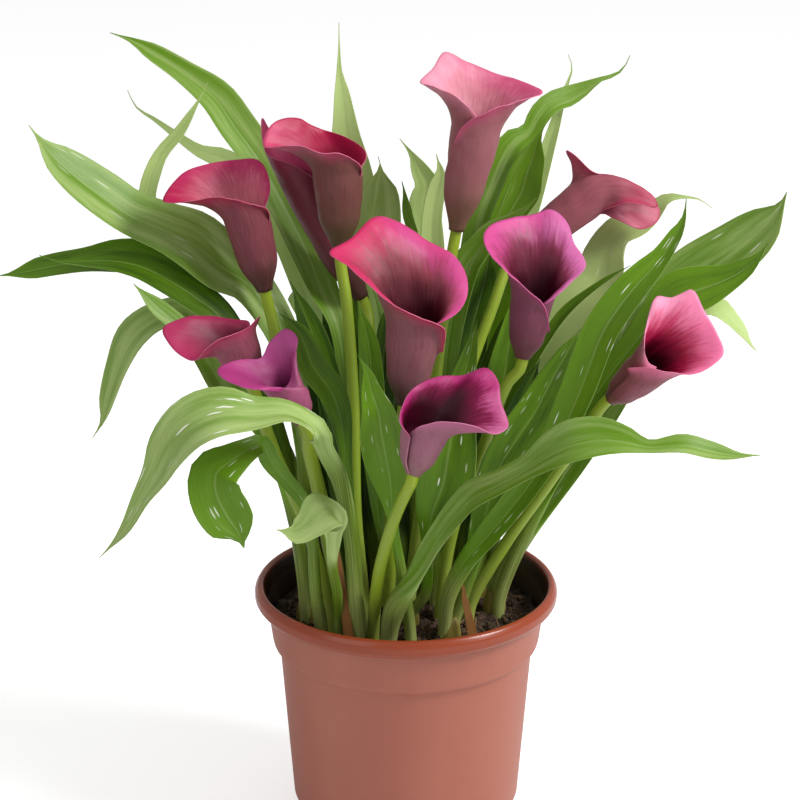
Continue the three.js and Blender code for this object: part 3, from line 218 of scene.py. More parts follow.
SHOOTS: tuple[ShootForm, ...] = (
    ShootForm("leaf_front_left", leaves=(
        LeafForm((-22, -39), (-0.3, -0.6, 0.75), stalk=3.3, flat_from=0.42, tone=0.95, flecks=1, path=(
            (-23, -41, 130, 3.5), (-24, -46, 155, 3.6), (-26, -52, 175, 3.6), (-29, -58, 192, 4),
            (-34, -65, 207, 4.6), (-39, -73, 221, 5.8), (-51, -84, 232, 7.5), (-64, -92, 234, 10),
            (-78, -95, 235, 13.7), (-90, -96, 230, 14.2), (-99, -96, 220, 12), (-105, -94, 208, 8.7),
            (-112, -91, 196, 5.6), (-120, -89, 181, 3.3), (-132, -86, 167, 0.7))),
    )),
    ShootForm("leaf_front_right", leaves=(
        LeafForm((-8, -41), (-0.2, -0.55, 0.8), stalk=3.6, flat_from=0.2, fold=18, tone=0.8, path=(
            (-5, -47, 126, 5), (4, -56, 144, 6.4), (13, -66, 165, 7.2), (21, -75, 181, 8.4),
            (29, -82, 193, 9), (39, -88, 201, 7.6), (51, -93, 210, 7.4), (60, -98, 218, 10.4),
            (69, -102, 224, 11.4), (80, -104, 227, 10.2), (90, -106, 227, 7.1), (100, -107, 225, 3.6),
            (114, -107, 226, 5.3), (125, -106, 223, 5), (136, -106, 221, 3), (147, -105, 221, 0.7))),
    )),
    ShootForm("leaf_curly", leaves=(
        LeafForm((-39, -34), (-0.2, -0.85, 0.4), stalk=2.8, flat_from=0.35, fold=10, tone=0.6, flecks=0.7,
                 path=(
            (-41, -39, 130, 2.8), (-43, -45, 169, 2.6), (-46, -50, 180, 3.4), (-53, -56, 192, 3.7),
            (-59, -62, 203, 4.6), (-62, -67, 212, 4.4), (-68, -74, 212, 5.5), (-75, -80, 209, 8),
            (-81, -84, 205, 11), (-81, -85, 196, 11.8), (-77, -84, 186, 11.6), (-72, -83, 177, 8.5),
            (-70, -82, 170, 1))),
    )),
    ShootForm("leaf_small_curl", leaves=(
        LeafForm((-31, -37), (0.1, -0.6, 0.8), stalk=2.4, flat_from=0.5, fold=10, tone=1.1, path=(
            (-31, -43, 130, 2.4), (-33, -53, 150, 2.4), (-32, -62, 168, 4), (-32, -70, 181, 8.6),
            (-36, -76, 184, 10.4), (-42, -79, 179, 7.1), (-48, -81, 176, 5.6), (-52, -81, 177, 3),
            (-56, -81, 178, 0.7))),
    )),
    ShootForm("leaf_centre_front", leaves=(
        LeafForm((2, -34), stalk=2.6, flat_from=0.35, fold=16, tone=0.55, flecks=0.4, path=(
            (-2, -39, 140, 2.4), (-6, -44, 168, 2.4), (-7, -49, 187, 7.5), (-9, -54, 202, 10.2),
            (-11, -59, 215, 9.8), (-12, -61, 224, 7.8), (-15, -61, 234, 4.8), (-17, -60, 243, 2.1),
            (-21, -59, 250, 0.7))),
    )),
    ShootForm("leaf_inner_left", leaves=(
        LeafForm((-20, -26), (0.3, -0.9, 0.2), stalk=2.6, flat_from=0.4, tone=0.35, path=(
            (-24, -29, 140, 2.6), (-27, -32, 190, 2.8), (-30, -35, 216, 5.6), (-34, -36, 227, 6.6),
            (-41, -36, 237, 6.8), (-45, -35, 248, 5.4), (-50, -34, 256, 3.3), (-56, -33, 261, 0.7))),
    )),
    ShootForm("shoot_left", foot=(-45, -5), radius=8.5, leaves=(
        LeafForm((-43, -4), (0.45, -0.6, 0.65), flat_from=0.3, fold=12, tone=0.85, flecks=0.4, path=(
            (-45, -4, 150, 3), (-49, 3, 189, 3.9), (-55, 9, 231, 9.2), (-72, 14, 260, 12.3),
            (-84, 15, 268, 15.8), (-97, 15, 279, 16.9), (-110, 14, 286, 14.4), (-125, 13, 293, 13.4),
            (-137, 12, 302, 13.6), (-149, 11, 312, 11.9), (-159, 10, 322, 7.6), (-165, 9, 331, 2),
            (-168, 8, 336, 0.7))),
        LeafForm((-45, -1), (0.1, -0.6, 0.8), flat_from=0.4, tone=0.5, path=(
            (-49, 6, 150, 3), (-68, 10, 216, 4.1), (-78, 12, 234, 4.3), (-89, 14, 249, 6.3),
            (-104, 16, 262, 8.4), (-121, 17, 271, 10.6), (-133, 17, 272, 10.2), (-146, 16, 271, 7.4),
            (-161, 15, 269, 6.5), (-176, 14, 266, 5), (-186, 13, 265, 0.7))),
        LeafForm((-47, -6), (0.1, -0.6, 0.8), flat_from=0.36, tone=0.35, path=(
            (-52, -2, 150, 3), (-63, -2, 200, 3.5), (-74, 0, 229, 6.1), (-85, 2, 249, 7.7),
            (-95, 3, 257, 9.1), (-107, 4, 265, 9.1), (-119, 5, 271, 8.5), (-132, 5, 274, 7.1),
            (-146, 5, 274, 3.6), (-157, 5, 274, 0.8), (-166, 5, 277, 0.7))),
        LeafForm((-47, -9), (0.4, -0.75, 0.5), flat_from=0.36, tone=0.8, path=(
            (-51, -10, 150, 3), (-66, -15, 200, 4.2), (-81, -18, 220, 7.8), (-92, -20, 240, 6.8),
            (-101, -20, 251, 4.8), (-110, -20, 259, 4.4), (-117, -19, 266, 2.8), (-121, -18, 270, 0.7))),
    )),
    ShootForm("shoot_left_back", foot=(-42, 18), radius=6.5, leaves=(
        LeafForm((-42, 15), (0.3, -0.85, 0.2), flat_from=0.36, fold=20, tone=1.15, path=(
            (-47, 14, 150, 3), (-77, 21, 222, 4.5), (-100, 28, 256, 6.5), (-118, 33, 283, 4.6),
            (-120, 37, 297, 4.4), (-117, 39, 308, 4.2), (-113, 41, 316, 3.4), (-105, 43, 325, 2.9),
            (-99, 44, 334, 1.8), (-94, 45, 342, 0.7), (-91, 45, 348, 0.7))),
        LeafForm((-43, 20), (-0.5, -0.7, 0.5), flat_from=0.4, tone=0.95, path=(
            (-48, 24, 150, 3), (-70, 27, 203, 3.8), (-88, 29, 232, 5.6), (-103, 26, 244, 6.8),
            (-117, 22, 241, 8.7), (-126, 18, 234, 9.9), (-133, 14, 221, 7.5), (-138, 11, 207, 5.3),
            (-141, 9, 196, 2.1), (-146, 8, 188, 0.7))),
    )),
    ShootForm("shoot_back_left", foot=(-24, 22), radius=7, leaves=(
        LeafForm((-23, 19), (0.35, -0.75, 0.45), flat_from=0.32, fold=20, tone=0.78, path=(
            (-25, 19, 150, 3), (-32, 26, 237, 5.2), (-39, 34, 251, 8), (-46, 42, 267, 10),
            (-56, 50, 286, 9.7), (-70, 57, 310, 9.8), (-80, 62, 323, 10.3), (-90, 68, 336, 9.7),
            (-104, 74, 346, 6.9), (-119, 79, 355, 5.1), (-130, 82, 361, 2.4), (-140, 85, 364, 0.7))),
        LeafForm((-26, 25), (-0.3, -0.7, 0.5), flat_from=0.36, tone=1.2, path=(
            (-28, 30, 150, 3), (-38, 48, 207, 4.2), (-50, 60, 250, 6.1), (-66, 70, 286, 6.9),
            (-86, 77, 304, 5.7), (-99, 81, 308, 3.2), (-110, 84, 315, 2), (-120, 86, 322, 1.1),
            (-129, 87, 328, 0.7), (-133, 88, 336, 0.7))),
        LeafForm((-24, 17), (0.2, -0.9, 0.3), flat_from=0.35, tone=0.3, path=(
            (-26, 10, 159, 3), (-34, 9, 207, 6), (-44, 12, 240, 6), (-53, 15, 262, 0.7))),
    )),
    ShootForm("shoot_centre", foot=(2, -11), radius=5.5, leaves=(
        LeafForm((0, -10), stalk=2.4, flat_from=0.35, tone=0.45, path=(
            (-12, -6, 150, 2.6), (-15, -3, 196, 6), (-17, -2, 236, 5), (-22, -2, 258, 0.7))),
        LeafForm((3, -12), (-0.1, -0.95, 0.3), stalk=2.6, flat_from=0.2, tone=0.45, flecks=1, path=(
            (9, -16, 120, 2.6), (10, -18, 149, 3.4), (12, -21, 162, 7.7), (17, -22, 177, 13.4),
            (19, -21, 190, 13.7), (21, -19, 201, 11.5), (24, -16, 217, 7.5), (28, -13, 233, 4.2),
            (32, -10, 251, 0.9))),
    )),
    ShootForm("shoot_back", foot=(-4, 27), radius=8, leaves=(
        LeafForm((-9, 28), (0.2, -0.95, 0.1), flat_from=0.42, tone=1.15, path=(
            (-10, 32, 150, 3), (-13, 45, 230, 4.4), (-17, 50, 273, 6.8), (-23, 54, 303, 7.3),
            (-28, 56, 319, 7.1), (-29, 57, 329, 5.6), (-30, 58, 341, 3.7), (-31, 59, 350, 1.5),
            (-31, 59, 360, 0.7), (-31, 60, 373, 0.7))),
        LeafForm((-6, 23), flat_from=0.4, fold=10, tone=0.95, flecks=0.6, path=(
            (-4, 27, 150, 3), (-4, 35, 221, 5.7), (-8, 40, 258, 9.4), (-14, 43, 277, 11.8),
            (-13, 45, 288, 10.9), (-12, 46, 298, 8.3), (-12, 46, 305, 3.7), (-12, 47, 309, 0.8),
            (-13, 47, 313, 0.7))),
        LeafForm((0, 29), (-0.1, -0.95, 0.2), flat_from=0.45, tone=1.1, path=(
            (4, 34, 150, 3), (9, 48, 225, 4.3), (12, 54, 263, 6.7), (9, 57, 288, 7.6), (10, 58, 297, 6),
            (6, 58, 305, 4.2), (3, 58, 311, 2.1), (-3, 58, 319, 0.7))),
        LeafForm((1, 25), (0.1, -0.95, 0.2), flat_from=0.45, tone=1.15, path=(
            (7, 28, 150, 3), (11, 36, 223, 4.3), (12, 42, 261, 5.7), (12, 45, 284, 4.9), (14, 47, 296, 4.4),
            (16, 48, 305, 3.5), (15, 48, 310, 1.6), (14, 48, 314, 0.7))),
    )),
    ShootForm("leaf_inner_back", leaves=(
        LeafForm((4, 17), (0, -1, 0.15), stalk=2.3, flat_from=0.4, tone=0.5, path=(
            (4, 17, 150, 2.5), (4, 22, 220, 3.3), (3, 25, 250, 4.2), (3, 29, 281, 2.6), (1, 30, 288, 2.4),
            (0, 31, 294, 2.2), (-1, 31, 301, 1.3), (-2, 31, 305, 0.7))),
    )),
    ShootForm("shoot_back_right", foot=(20, 38), radius=7, leaves=(
        LeafForm((17, 38), (-0.3, -0.85, 0.4), flat_from=0.34, fold=12, tone=0.75, path=(
            (18, 40, 150, 3), (22, 50, 208, 5.1), (32, 58, 255, 7.7), (37, 60, 282, 8.1),
            (42, 63, 295, 7.7), (47, 67, 306, 8.1), (52, 71, 314, 7.4), (59, 75, 318, 5),
            (64, 79, 326, 5.7), (70, 83, 331, 5.6), (77, 86, 333, 5.5), (84, 88, 336, 4.1),
            (93, 89, 341, 1.3), (100, 90, 343, 1.3), (104, 91, 346, 0.8), (107, 92, 352, 0.7))),
        LeafForm((22, 36), (-0.2, -0.9, 0.3), flat_from=0.4, fold=12, tone=0.6, path=(
            (24, 38, 145, 3), (35, 47, 209, 4.4), (45, 52, 246, 6.8), (46, 54, 277, 7.4),
            (51, 57, 287, 8.4), (55, 59, 294, 9.2), (57, 60, 302, 8.3), (60, 61, 310, 6.2),
            (62, 61, 318, 3.2), (65, 61, 325, 0.7))),
        LeafForm((23, 41), (-0.2, -0.95, 0.2), flat_from=0.4, tone=1.5, path=(
            (27, 46, 150, 3), (43, 66, 223, 4), (60, 82, 279, 4.9), (71, 90, 316, 3), (77, 95, 336, 1.1),
            (80, 98, 345, 0.7), (78, 100, 351, 0.7))),
    )),
    ShootForm("shoot_right_back", foot=(37, 25), radius=6.5, leaves=(
        LeafForm((35, 27), (-0.4, -0.8, 0.45), flat_from=0.3, tone=1.5, flecks=0.5, path=(
            (36, 30, 140, 3), (47, 38, 177, 6.5), (62, 44, 213, 10.7), (82, 47, 242, 13.5),
            (92, 50, 253, 13.1), (95, 54, 265, 10.2), (100, 58, 273, 8.1), (110, 61, 278, 8.1),
            (117, 63, 282, 5.7), (124, 63, 289, 2.8), (131, 62, 290, 1), (139, 61, 289, 0.7),
            (145, 60, 285, 0.7))),
        LeafForm((40, 23), (0.3, -0.3, 0.9), stalk=2.5, flat_from=0.5, tone=1.5, path=(
            (44, 23, 145, 2.5), (75, 27, 184, 3.4), (111, 26, 226, 5.1), (132, 22, 245, 7.2),
            (143, 19, 247, 9), (149, 17, 243, 6.9), (155, 15, 237, 5.1), (159, 13, 232, 2.7),
            (162, 12, 229, 0.9))),
    )),
    ShootForm("shoot_right", foot=(42, 4), radius=7, leaves=(
        LeafForm((43, 3), (-0.35, -0.7, 0.62), flat_from=0.2, fold=10, tone=0.8, flecks=0.6, path=(
            (45, 5, 118, 3), (55, 7, 137, 4.3), (68, 9, 158, 5.9), (80, 11, 178, 7.9), (91, 12, 198, 9.4),
            (101, 13, 218, 10.2), (114, 13, 247, 11), (125, 14, 257, 15.6), (134, 14, 264, 16.9),
            (142, 14, 270, 16.3), (151, 14, 277, 14.6), (159, 14, 284, 12.5), (166, 14, 292, 8.1),
            (170, 14, 298, 3.9), (172, 14, 304, 0.7))),
        LeafForm((41, 8), (-0.5, -0.7, 0.5), stalk=2.6, flat_from=0.35, fold=35, tone=0.5, path=(
            (42, 12, 140, 3), (44, 16, 176, 4.1), (53, 17, 208, 4), (65, 16, 233, 3.4), (74, 15, 247, 3.3),
            (85, 13, 258, 2.1), (95, 11, 266, 1.3), (102, 9, 271, 0.7))),
        LeafForm((44, 0), (-0.3, -0.75, 0.55), flat_from=0.28, fold=12, tone=0.5, path=(
            (49, 1, 125, 3), (68, 3, 170, 4.6), (86, 2, 209, 6.5), (105, 0, 238, 6.6), (115, -1, 251, 9),
            (123, -1, 259, 12), (134, -1, 263, 11), (146, -1, 268, 7), (156, -1, 275, 3.7),
            (163, -1, 285, 0.7))),
    )),
    ShootForm("shoot_right_front", foot=(20, -27), radius=7, leaves=(
        LeafForm((18, -29), (-0.5, -0.8, 0.35), flat_from=0.2, fold=22, tone=0.55, flecks=1, path=(
            (19, -33, 125, 3.6), (27, -37, 144, 4.7), (39, -40, 161, 6.3), (53, -44, 182, 7.2),
            (66, -47, 205, 7.9), (76, -48, 230, 8.8), (85, -47, 256, 9), (91, -46, 266, 8.9),
            (98, -44, 275, 8.2), (105, -41, 282, 6.9), (111, -38, 288, 5), (117, -35, 297, 3.6),
            (120, -33, 303, 2), (121, -31, 312, 0.7))),
        LeafForm((22, -24), (-0.3, -0.9, 0.3), flat_from=0.25, tone=0.4, flecks=0.5, path=(
            (26, -25, 122, 3), (32, -26, 147, 4.4), (37, -27, 167, 7.3), (41, -27, 184, 8.4),
            (49, -27, 199, 9.2), (58, -26, 213, 8.6), (65, -24, 227, 6.7), (72, -22, 240, 3.8),
            (78, -20, 250, 0.9))),
    )),
    ShootForm("leaf_inner_right", leaves=(
        LeafForm((16, 21), (-0.3, -0.8, 0.5), stalk=2.5, flat_from=0.36, tone=0.7, path=(
            (16, 22, 145, 3), (18, 27, 202, 4.6), (21, 31, 235, 7), (29, 34, 265, 7.4), (34, 34, 272, 6.6),
            (40, 34, 280, 5.4), (48, 33, 286, 3.1), (55, 32, 292, 1.5), (60, 31, 297, 0.7))),
    )),
    ShootForm("leaf_back", leaves=(
        LeafForm((-16, 42), (-0.4, 0.8, 0.5), flat_from=0.34, fold=16, path=(
            (-20, 50, 150, 3), (-34, 76, 200, 7), (-52, 106, 238, 12), (-72, 134, 248, 11),
            (-92, 156, 236, 6), (-108, 170, 212, 0.7))),
    )),
    ShootForm("leaf_back_right", leaves=(
        LeafForm((4, 46), (0.3, 0.8, 0.5), flat_from=0.34, fold=16, path=(
            (8, 54, 150, 3), (20, 82, 200, 7), (34, 110, 232, 12), (47, 133, 246, 11), (58, 152, 240, 6),
            (66, 168, 222, 0.7))),
    )),
)

# Extra leaves in the middle of the plant, behind the others. Their low tones paint them dark green: partly
# their own colour and partly painted shade between the stalks.
INNER_SHADED_LEAVES = ShootForm("inner", leaves=(
    LeafForm((-36, 18), (0.2, -1, 0.1), tone=0.1, path=(
        (-38, 20, 130, 5), (-41, 24, 160, 8), (-46, 28, 195, 8), (-53, 31, 225, 4), (-57, 33, 240, 0.7))),
    LeafForm((-27, 32), (0.1, -1, 0.1), tone=0.15, path=(
        (-28, 35, 130, 5), (-29, 39, 165, 8), (-31, 44, 205, 9), (-35, 48, 240, 5), (-38, 50, 258, 0.7))),
    LeafForm((-14, 24), (-0.1, -1, 0.1), tone=0.2, path=(
        (-14, 25, 130, 5), (-13, 27, 160, 7), (-12, 30, 200, 7), (-9, 33, 235, 4), (-7, 35, 250, 0.7))),
    LeafForm((-2, 18), (0.1, -1, 0.1), tone=0.1, path=(
        (-3, 19, 130, 5), (-5, 21, 155, 8), (-6, 24, 190, 8), (-4, 28, 220, 4), (-3, 30, 236, 0.7))),
    LeafForm((6, 34), tone=0.12, path=(
        (7, 36, 130, 5), (9, 40, 165, 9), (12, 45, 205, 9), (17, 50, 240, 5), (19, 52, 256, 0.7))),
    LeafForm((14, 8), (-0.2, -1, 0.1), tone=0.15, path=(
        (15, 9, 130, 5), (18, 11, 152, 7), (22, 13, 178, 8), (27, 15, 205, 4), (29, 16, 220, 0.7))),
    LeafForm((26, 20), (-0.2, -1, 0.1), tone=0.2, path=(
        (28, 22, 130, 5), (32, 26, 160, 8), (38, 30, 200, 8), (46, 33, 232, 4), (50, 34, 246, 0.7))),
    LeafForm((30, 6), (-0.3, -1, 0.1), tone=0.1, path=(
        (33, 7, 130, 5), (39, 9, 155, 7), (47, 11, 185, 7), (57, 12, 212, 4), (62, 12, 226, 0.7))),
    LeafForm((-20, 29), tone=0.1, path=(
        (-20, 30, 130, 6), (-21, 32, 160, 7), (-22, 35, 195, 7), (-24, 38, 225, 4), (-25, 40, 238, 0.7))),
    LeafForm((-13, 29), tone=0.3, path=(
        (-18, 30, 149, 6), (-19, 33, 188, 8), (-21, 36, 222, 8), (-23, 40, 246, 6), (-24, 43, 260, 0.7))),
    LeafForm((27, 20), tone=0.35, path=(
        (39, 22, 152, 6), (43, 24, 181, 8), (46, 26, 211, 9), (49, 29, 232, 6), (51, 32, 253, 0.7))),
    LeafForm((15, 32), tone=0.25, path=(
        (22, 34, 147, 6), (25, 36, 187, 9), (30, 40, 226, 9), (37, 44, 254, 6), (40, 47, 271, 0.7))),
    LeafForm((-24, 2), (0.2, -1, 0.1), tone=0.12, path=(
        (-26, 3, 130, 4), (-29, 5, 155, 6), (-33, 7, 185, 6), (-39, 9, 215, 3), (-42, 10, 230, 0.7))),
))

# Two dry sheath strips, each from its tip down to the peat, and their half widths from the foot up.
DRY_STRIPS = (
    ((-33, -33, 163), (-31, -36, 145), (-28, -40, 127), (-26, -44, 109)),
    ((26, -30, 130), (27, -31, 123), (29, -33, 115), (31, -35, 105)))
DRY_HALF_WIDTHS = (2.4, 1.9, 1.5, 0.5)


def smooth(value: float) -> float:
    """Eases a value from 0 to 1 with a soft start and end."""
    c = min(1.0, max(0.0, value))
    return c * c * (3.0 - 2.0 * c)


def paint(shade: Triple) -> Triple:
    """Turns a colour as it looks on a screen, 0 to 255, into the linear one that shaders take."""
    def linear(part: float) -> float:
        return part / 12.92 if part <= 0.04045 else ((part + 0.055) / 1.055) ** 2.4
    return tuple(linear(part / 255) for part in shade)


class SmoothCurve:
    """A centripetal curve through points, the same one that the solids follow."""

    def __init__(self, points: Sequence[Sequence[float]]) -> None:
        """Keeps the x, y and z of the points to pass through."""
        self.points = [Vector(p[:3]) for p in points]

    def at(self, t: float) -> Vector:
        """Gives the point at a place from 0 to 1, with every stretch between points the same share.

        Args:
            t: the place.

        Returns:
            The point.
        """
        last = len(self.points) - 1
        place = min(1.0, max(0.0, t)) * last
        low = min(last - 1, int(place))
        r = place - low
        p1, p2 = self.points[low], self.points[low + 1]
        p0 = self.points[low - 1] if low > 0 else 2 * p1 - p2
        p3 = self.points[low + 2] if low + 2 <= last else 2 * p2 - p1
        d1 = math.sqrt((p2 - p1).length) or 1.0
        d0 = math.sqrt((p1 - p0).length) or d1
        d2 = math.sqrt((p3 - p2).length) or d1
        t1 = ((p1 - p0) / d0 - (p2 - p0) / (d0 + d1) + (p2 - p1) / d1) * d1
        t2 = ((p2 - p1) / d1 - (p3 - p1) / (d1 + d2) + (p3 - p2) / d2) * d1
        return p1 + t1 * r + (3 * (p2 - p1) - 2 * t1 - t2) * r * r + (2 * (p1 - p2) + t1 + t2) * r ** 3

    def spread(self, steps: int) -> list[Vector]:
        """Gives the points at that many even steps."""
        return [self.at(k / steps) for k in range(steps + 1)]


def width_at(widths: Sequence[float], t: float, least: float = 0.35) -> float:
    """Reads the half width between the measured ones, smoothly.

    Args:
        widths: the half width at each point of the midrib.
        t: the place along the points, 0 to 1.
        least: the half width that no place goes under.

    Returns:
        The half width.
    """
    last = len(widths) - 1
    place = t * last
    low = min(last - 1, int(place))
    w0, w1, w2, w3 = (widths[min(last, max(0, low + i))] for i in (-1, 0, 1, 2))
    r = place - low
    bend = (2 * w0 - 5 * w1 + 4 * w2 - w3) * r * r + (3 * w1 - w0 - 3 * w2 + w3) * r ** 3
    return max(least, 0.5 * (2 * w1 + (w2 - w0) * r + bend))


def shares(route: Sequence[Vector]) -> list[float]:
    """Gives each point's share of the route's length, 0 to 1."""
    lengths = [0.0]
    for a, b in zip(route, route[1:]):
        lengths.append(lengths[-1] + (b - a).length)
    return [length / lengths[-1] for length in lengths]


def turns(sides: int) -> list[tuple[float, float]]:
    """Gives the cosine and the sine of each of so many even parts of a turn."""
    return [(math.cos(ONE_TURN * i / sides), math.sin(ONE_TURN * i / sides)) for i in range(sides)]


def ring_faces(rings: int, sides: int, capped: bool = True) -> list[Face]:
    """Gives the faces of rings of points, facing up where the rings go outward.

    Args:
        rings: how many rings there are.
        sides: how many points each has.
        capped: whether one middle point comes before the first ring and one after the last.

    Returns:
        The faces.
    """
    start = int(capped)
    last = start + (rings - 1) * sides
    faces: list[Face] = []
    for near in range(start, last, sides):
        for i in range(sides):
            after = near + (i + 1) % sides
            faces.append((near + i, near + sides + i, sides + after, after))
    for i in range(sides if capped else 0):
        after = (i + 1) % sides
        faces += [(0, 1 + i, 1 + after), (last + i, last + sides, last + after)]
    return faces


def linked(name: str, mesh: Mesh, material: Material | None = None) -> Piece:
    """Makes an object of a mesh, smooth where it gets a material, and links it into the scene."""
    if material:
        mesh.shade_smooth()
        mesh.materials.append(material)
    piece = bpy.data.objects.new(name, mesh)
    bpy.context.scene.collection.objects.link(piece)
    return piece


def mesh_of(name: str, points: Sequence[Vector], edges: Sequence[Sequence[int]] = (),
            faces: Sequence[Face] = (), **values: Sequence[Any]) -> Mesh:
    """Makes a mesh in metres from points in millimetres.

    Args:
        name: the mesh's name.
        points: the points, in millimetres.
        edges: pairs of points, for a path.
        faces: rings of points, for a surface.
        values: what the points keep, by name: a number or a vector for each.

    Returns:
        The mesh.
    """
    mesh = bpy.data.meshes.new(name)
    mesh.from_pydata([tuple(p * MM) for p in points], edges, faces)
    mesh.update()
    for key, row in values.items():
        if isinstance(row[0], Vector):
            flat = [part for vector in row for part in vector]
            mesh.attributes.new(key, "FLOAT_VECTOR", "POINT").data.foreach_set("vector", flat)
        else:
            mesh.attributes.new(key, "FLOAT", "POINT").data.foreach_set("value", list(row))
    return mesh


def hand_in(piece: Piece, slot: Slot, *nodes: str) -> None:
    """Ties a finished piece to the frame's body and hides the nodes that it stands for.

    Args:
        piece: the finished piece.
        slot: not used.
        nodes: the CAD nodes that it replaces, if any.
    """
    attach(piece, BODY)
    if nodes:
        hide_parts(*nodes)
    LOG.info("%s: %d faces", piece.name, len(piece.data.polygons))


@dataclass(frozen=True)
class Wire:
    """A node's result that sums are written with: each sign adds one node to its tree."""

    bench: NodeBench
    socket: bpy.types.NodeSocket

    def __add__(self, other: Any) -> Wire:
        """Adds a result, a number or a vector."""
        return self.bench.combine("ADD", self, other)

    def __sub__(self, other: Any) -> Wire:
        """Takes a result, a number or a vector away."""
        return self.bench.combine("SUBTRACT", self, other)

    def __rsub__(self, other: Any) -> Wire:
        """Takes this result away from a number."""
        return self.bench.combine("SUBTRACT", other, self)

    def __mul__(self, other: Any) -> Wire:
        """Multiplies by a number, or a vector part by part by another."""
        return self.bench.combine("MULTIPLY", self, other)

    def __truediv__(self, other: Any) -> Wire:
        """Divides by a number."""
        return self.bench.math("DIVIDE", self, other)

    def __pow__(self, power: float) -> Wire:
        """Raises to a power."""
        return self.bench.math("POWER", self, power)

    def __abs__(self) -> Wire:
        """Drops the sign."""
        return self.bench.math("ABSOLUTE", self)


class NodeBench:
    """Adds nodes to one tree and joins them, taking numbers, colours or results as inputs."""

    def __init__(self, tree: Tree) -> None:
        """Keeps the tree and its input node, where it has one.

        Args:
            tree: the tree to build in.
        """
        self.tree = tree
        self.source = tree.nodes.new("NodeGroupInput") if tree.interface.items_tree else None

    def given(self, name: str) -> Wire:
        """Gives the tree's own input of that name."""
        return Wire(self, self.source.outputs[name])

    def fill(self, socket: bpy.types.NodeSocket, value: Any) -> None:
        """Links a socket to a result, or sets its value.

        Args:
            socket: the input socket.
            value: a result or a plain value.
        """
        if isinstance(value, Wire):
            self.tree.links.new(value.socket, socket)
        elif socket.type == "RGBA" and len(value) == 3:
            socket.default_value = (*value, 1.0)
        else:
            socket.default_value = value

    def add(self, kind: str, inputs: dict[str, Any] | None = None, **settings: Any) -> bpy.types.Node:
        """Adds a node.

        Args:
            kind: the node's type.
            inputs: values or results for its inputs, by name.
            settings: the node's own properties.

        Returns:
            The node.
        """
        node = self.tree.nodes.new(kind)
        for key, value in settings.items():
            setattr(node, key, value)
        for key, value in (inputs or {}).items():
            self.fill(next(s for s in node.inputs if s.enabled and s.name == key), value)
        return node

    def get(self, kind: str, inputs: dict[str, Any] | None = None, out: int | str = 0,
            **settings: Any) -> Wire:
        """Adds a node and gives one of its results, the first unless another is named."""
        return Wire(self, self.add(kind, inputs, **settings).outputs[out])

    def math(self, operation: str, *values: Any) -> Wire:
        """Adds one sum on numbers and gives its result."""
        node = self.add("ShaderNodeMath", operation=operation)
        for socket, value in zip(node.inputs, values):
            self.fill(socket, value)
        return Wire(self, node.outputs[0])

    def vector(self, operation: str, *values: Any) -> Wire:
        """Adds one sum on vectors and gives its result; a scale's number comes second."""
        node = self.add("ShaderNodeVectorMath", operation=operation)
        sockets = (node.inputs[0], node.inputs["Scale" if operation == "SCALE" else 1])
        for socket, value in zip(sockets, values):
            self.fill(socket, value)
        return Wire(self, node.outputs["Value" if operation in ("DOT_PRODUCT", "LENGTH") else "Vector"])

    def combine(self, operation: str, a: Any, b: Any) -> Wire:
        """Adds a sum on numbers, or on vectors where a side is one."""
        vectors = [isinstance(side, tuple) or isinstance(side, Wire) and side.socket.type == "VECTOR"
                   for side in (a, b)]
        if not any(vectors):
            return self.math(operation, a, b)
        return self.vector(operation if all(vectors) else "SCALE", a, b)

    def ramp(self, value: Any, low: Any, high: Any, start: float = 0.0, end: float = 1.0) -> Wire:
        """Eases a value softly between two limits, from one result to another."""
        node = self.add("ShaderNodeMapRange", interpolation_type="SMOOTHSTEP")
        for socket, filling in zip(node.inputs, (value, low, high, start, end)):
            self.fill(socket, filling)
        return Wire(self, node.outputs["Result"])

    def blend(self, share: Any, a: Wire | str, b: Wire | str) -> Wire:
        """Mixes two colours, each a result or the name of an input of the tree."""
        node = self.add("ShaderNodeMix", {"Factor": share}, data_type="RGBA")
        for socket, colour in zip((node.inputs[6], node.inputs[7]), (a, b)):
            self.fill(socket, self.given(colour) if isinstance(colour, str) else colour)
        return Wire(self, node.outputs[2])

    def between(self, share: Any, a: Wire, b: Wire) -> Wire:
        """Mixes two numbers: a where the share is 0, and b where it is 1."""
        return a + (b - a) * share

    def read(self, name: str, kind: str = "FLOAT") -> Wire:
        """Reads an attribute of the geometry in a geometry tree."""
        return self.get("GeometryNodeInputNamedAttribute", {"Name": name}, "Attribute", data_type=kind)

    def keep(self, geometry: Wire, name: str, value: Wire, kind: str = "FLOAT") -> Wire:
        """Stores a value on the points of a geometry and gives the geometry on."""
        return self.get("GeometryNodeStoreNamedAttribute", {
            "Geometry": geometry, "Name": name, "Value": value}, data_type=kind, domain="POINT")

    def painted(self, *names: str) -> list[Wire]:
        """Reads numbers kept on the points in a shader tree."""
        return [self.get("ShaderNodeAttribute", out="Fac", attribute_name=name) for name in names]

    def cloud(self, place: Wire, scale: float, detail: float = 4.0, rough: float = 0.55) -> Wire:
        """Adds soft noise at a place."""
        return self.get("ShaderNodeTexNoise", {
            "Vector": place, "Scale": scale, "Detail": detail, "Roughness": rough}, "Fac")

    def chance(self, low: Any, high: Any, seed: Any) -> Wire:
        """Adds a random number between two limits."""
        return self.get("FunctionNodeRandomValue", {"Min": low, "Max": high, "Seed": seed}, 1,
                        data_type="FLOAT")

    def place(self, x: Any, y: Any, z: Any) -> Wire:
        """Joins three numbers into a vector."""
        return self.get("ShaderNodeCombineXYZ", {"X": x, "Y": y, "Z": z})

    def close(self, *results: Wire) -> Tree:
        """Ends the tree with its results, in the order of its outputs."""
        for socket, value in zip(self.tree.nodes.new("NodeGroupOutput").inputs, results):
            self.fill(socket, value)
        return self.tree


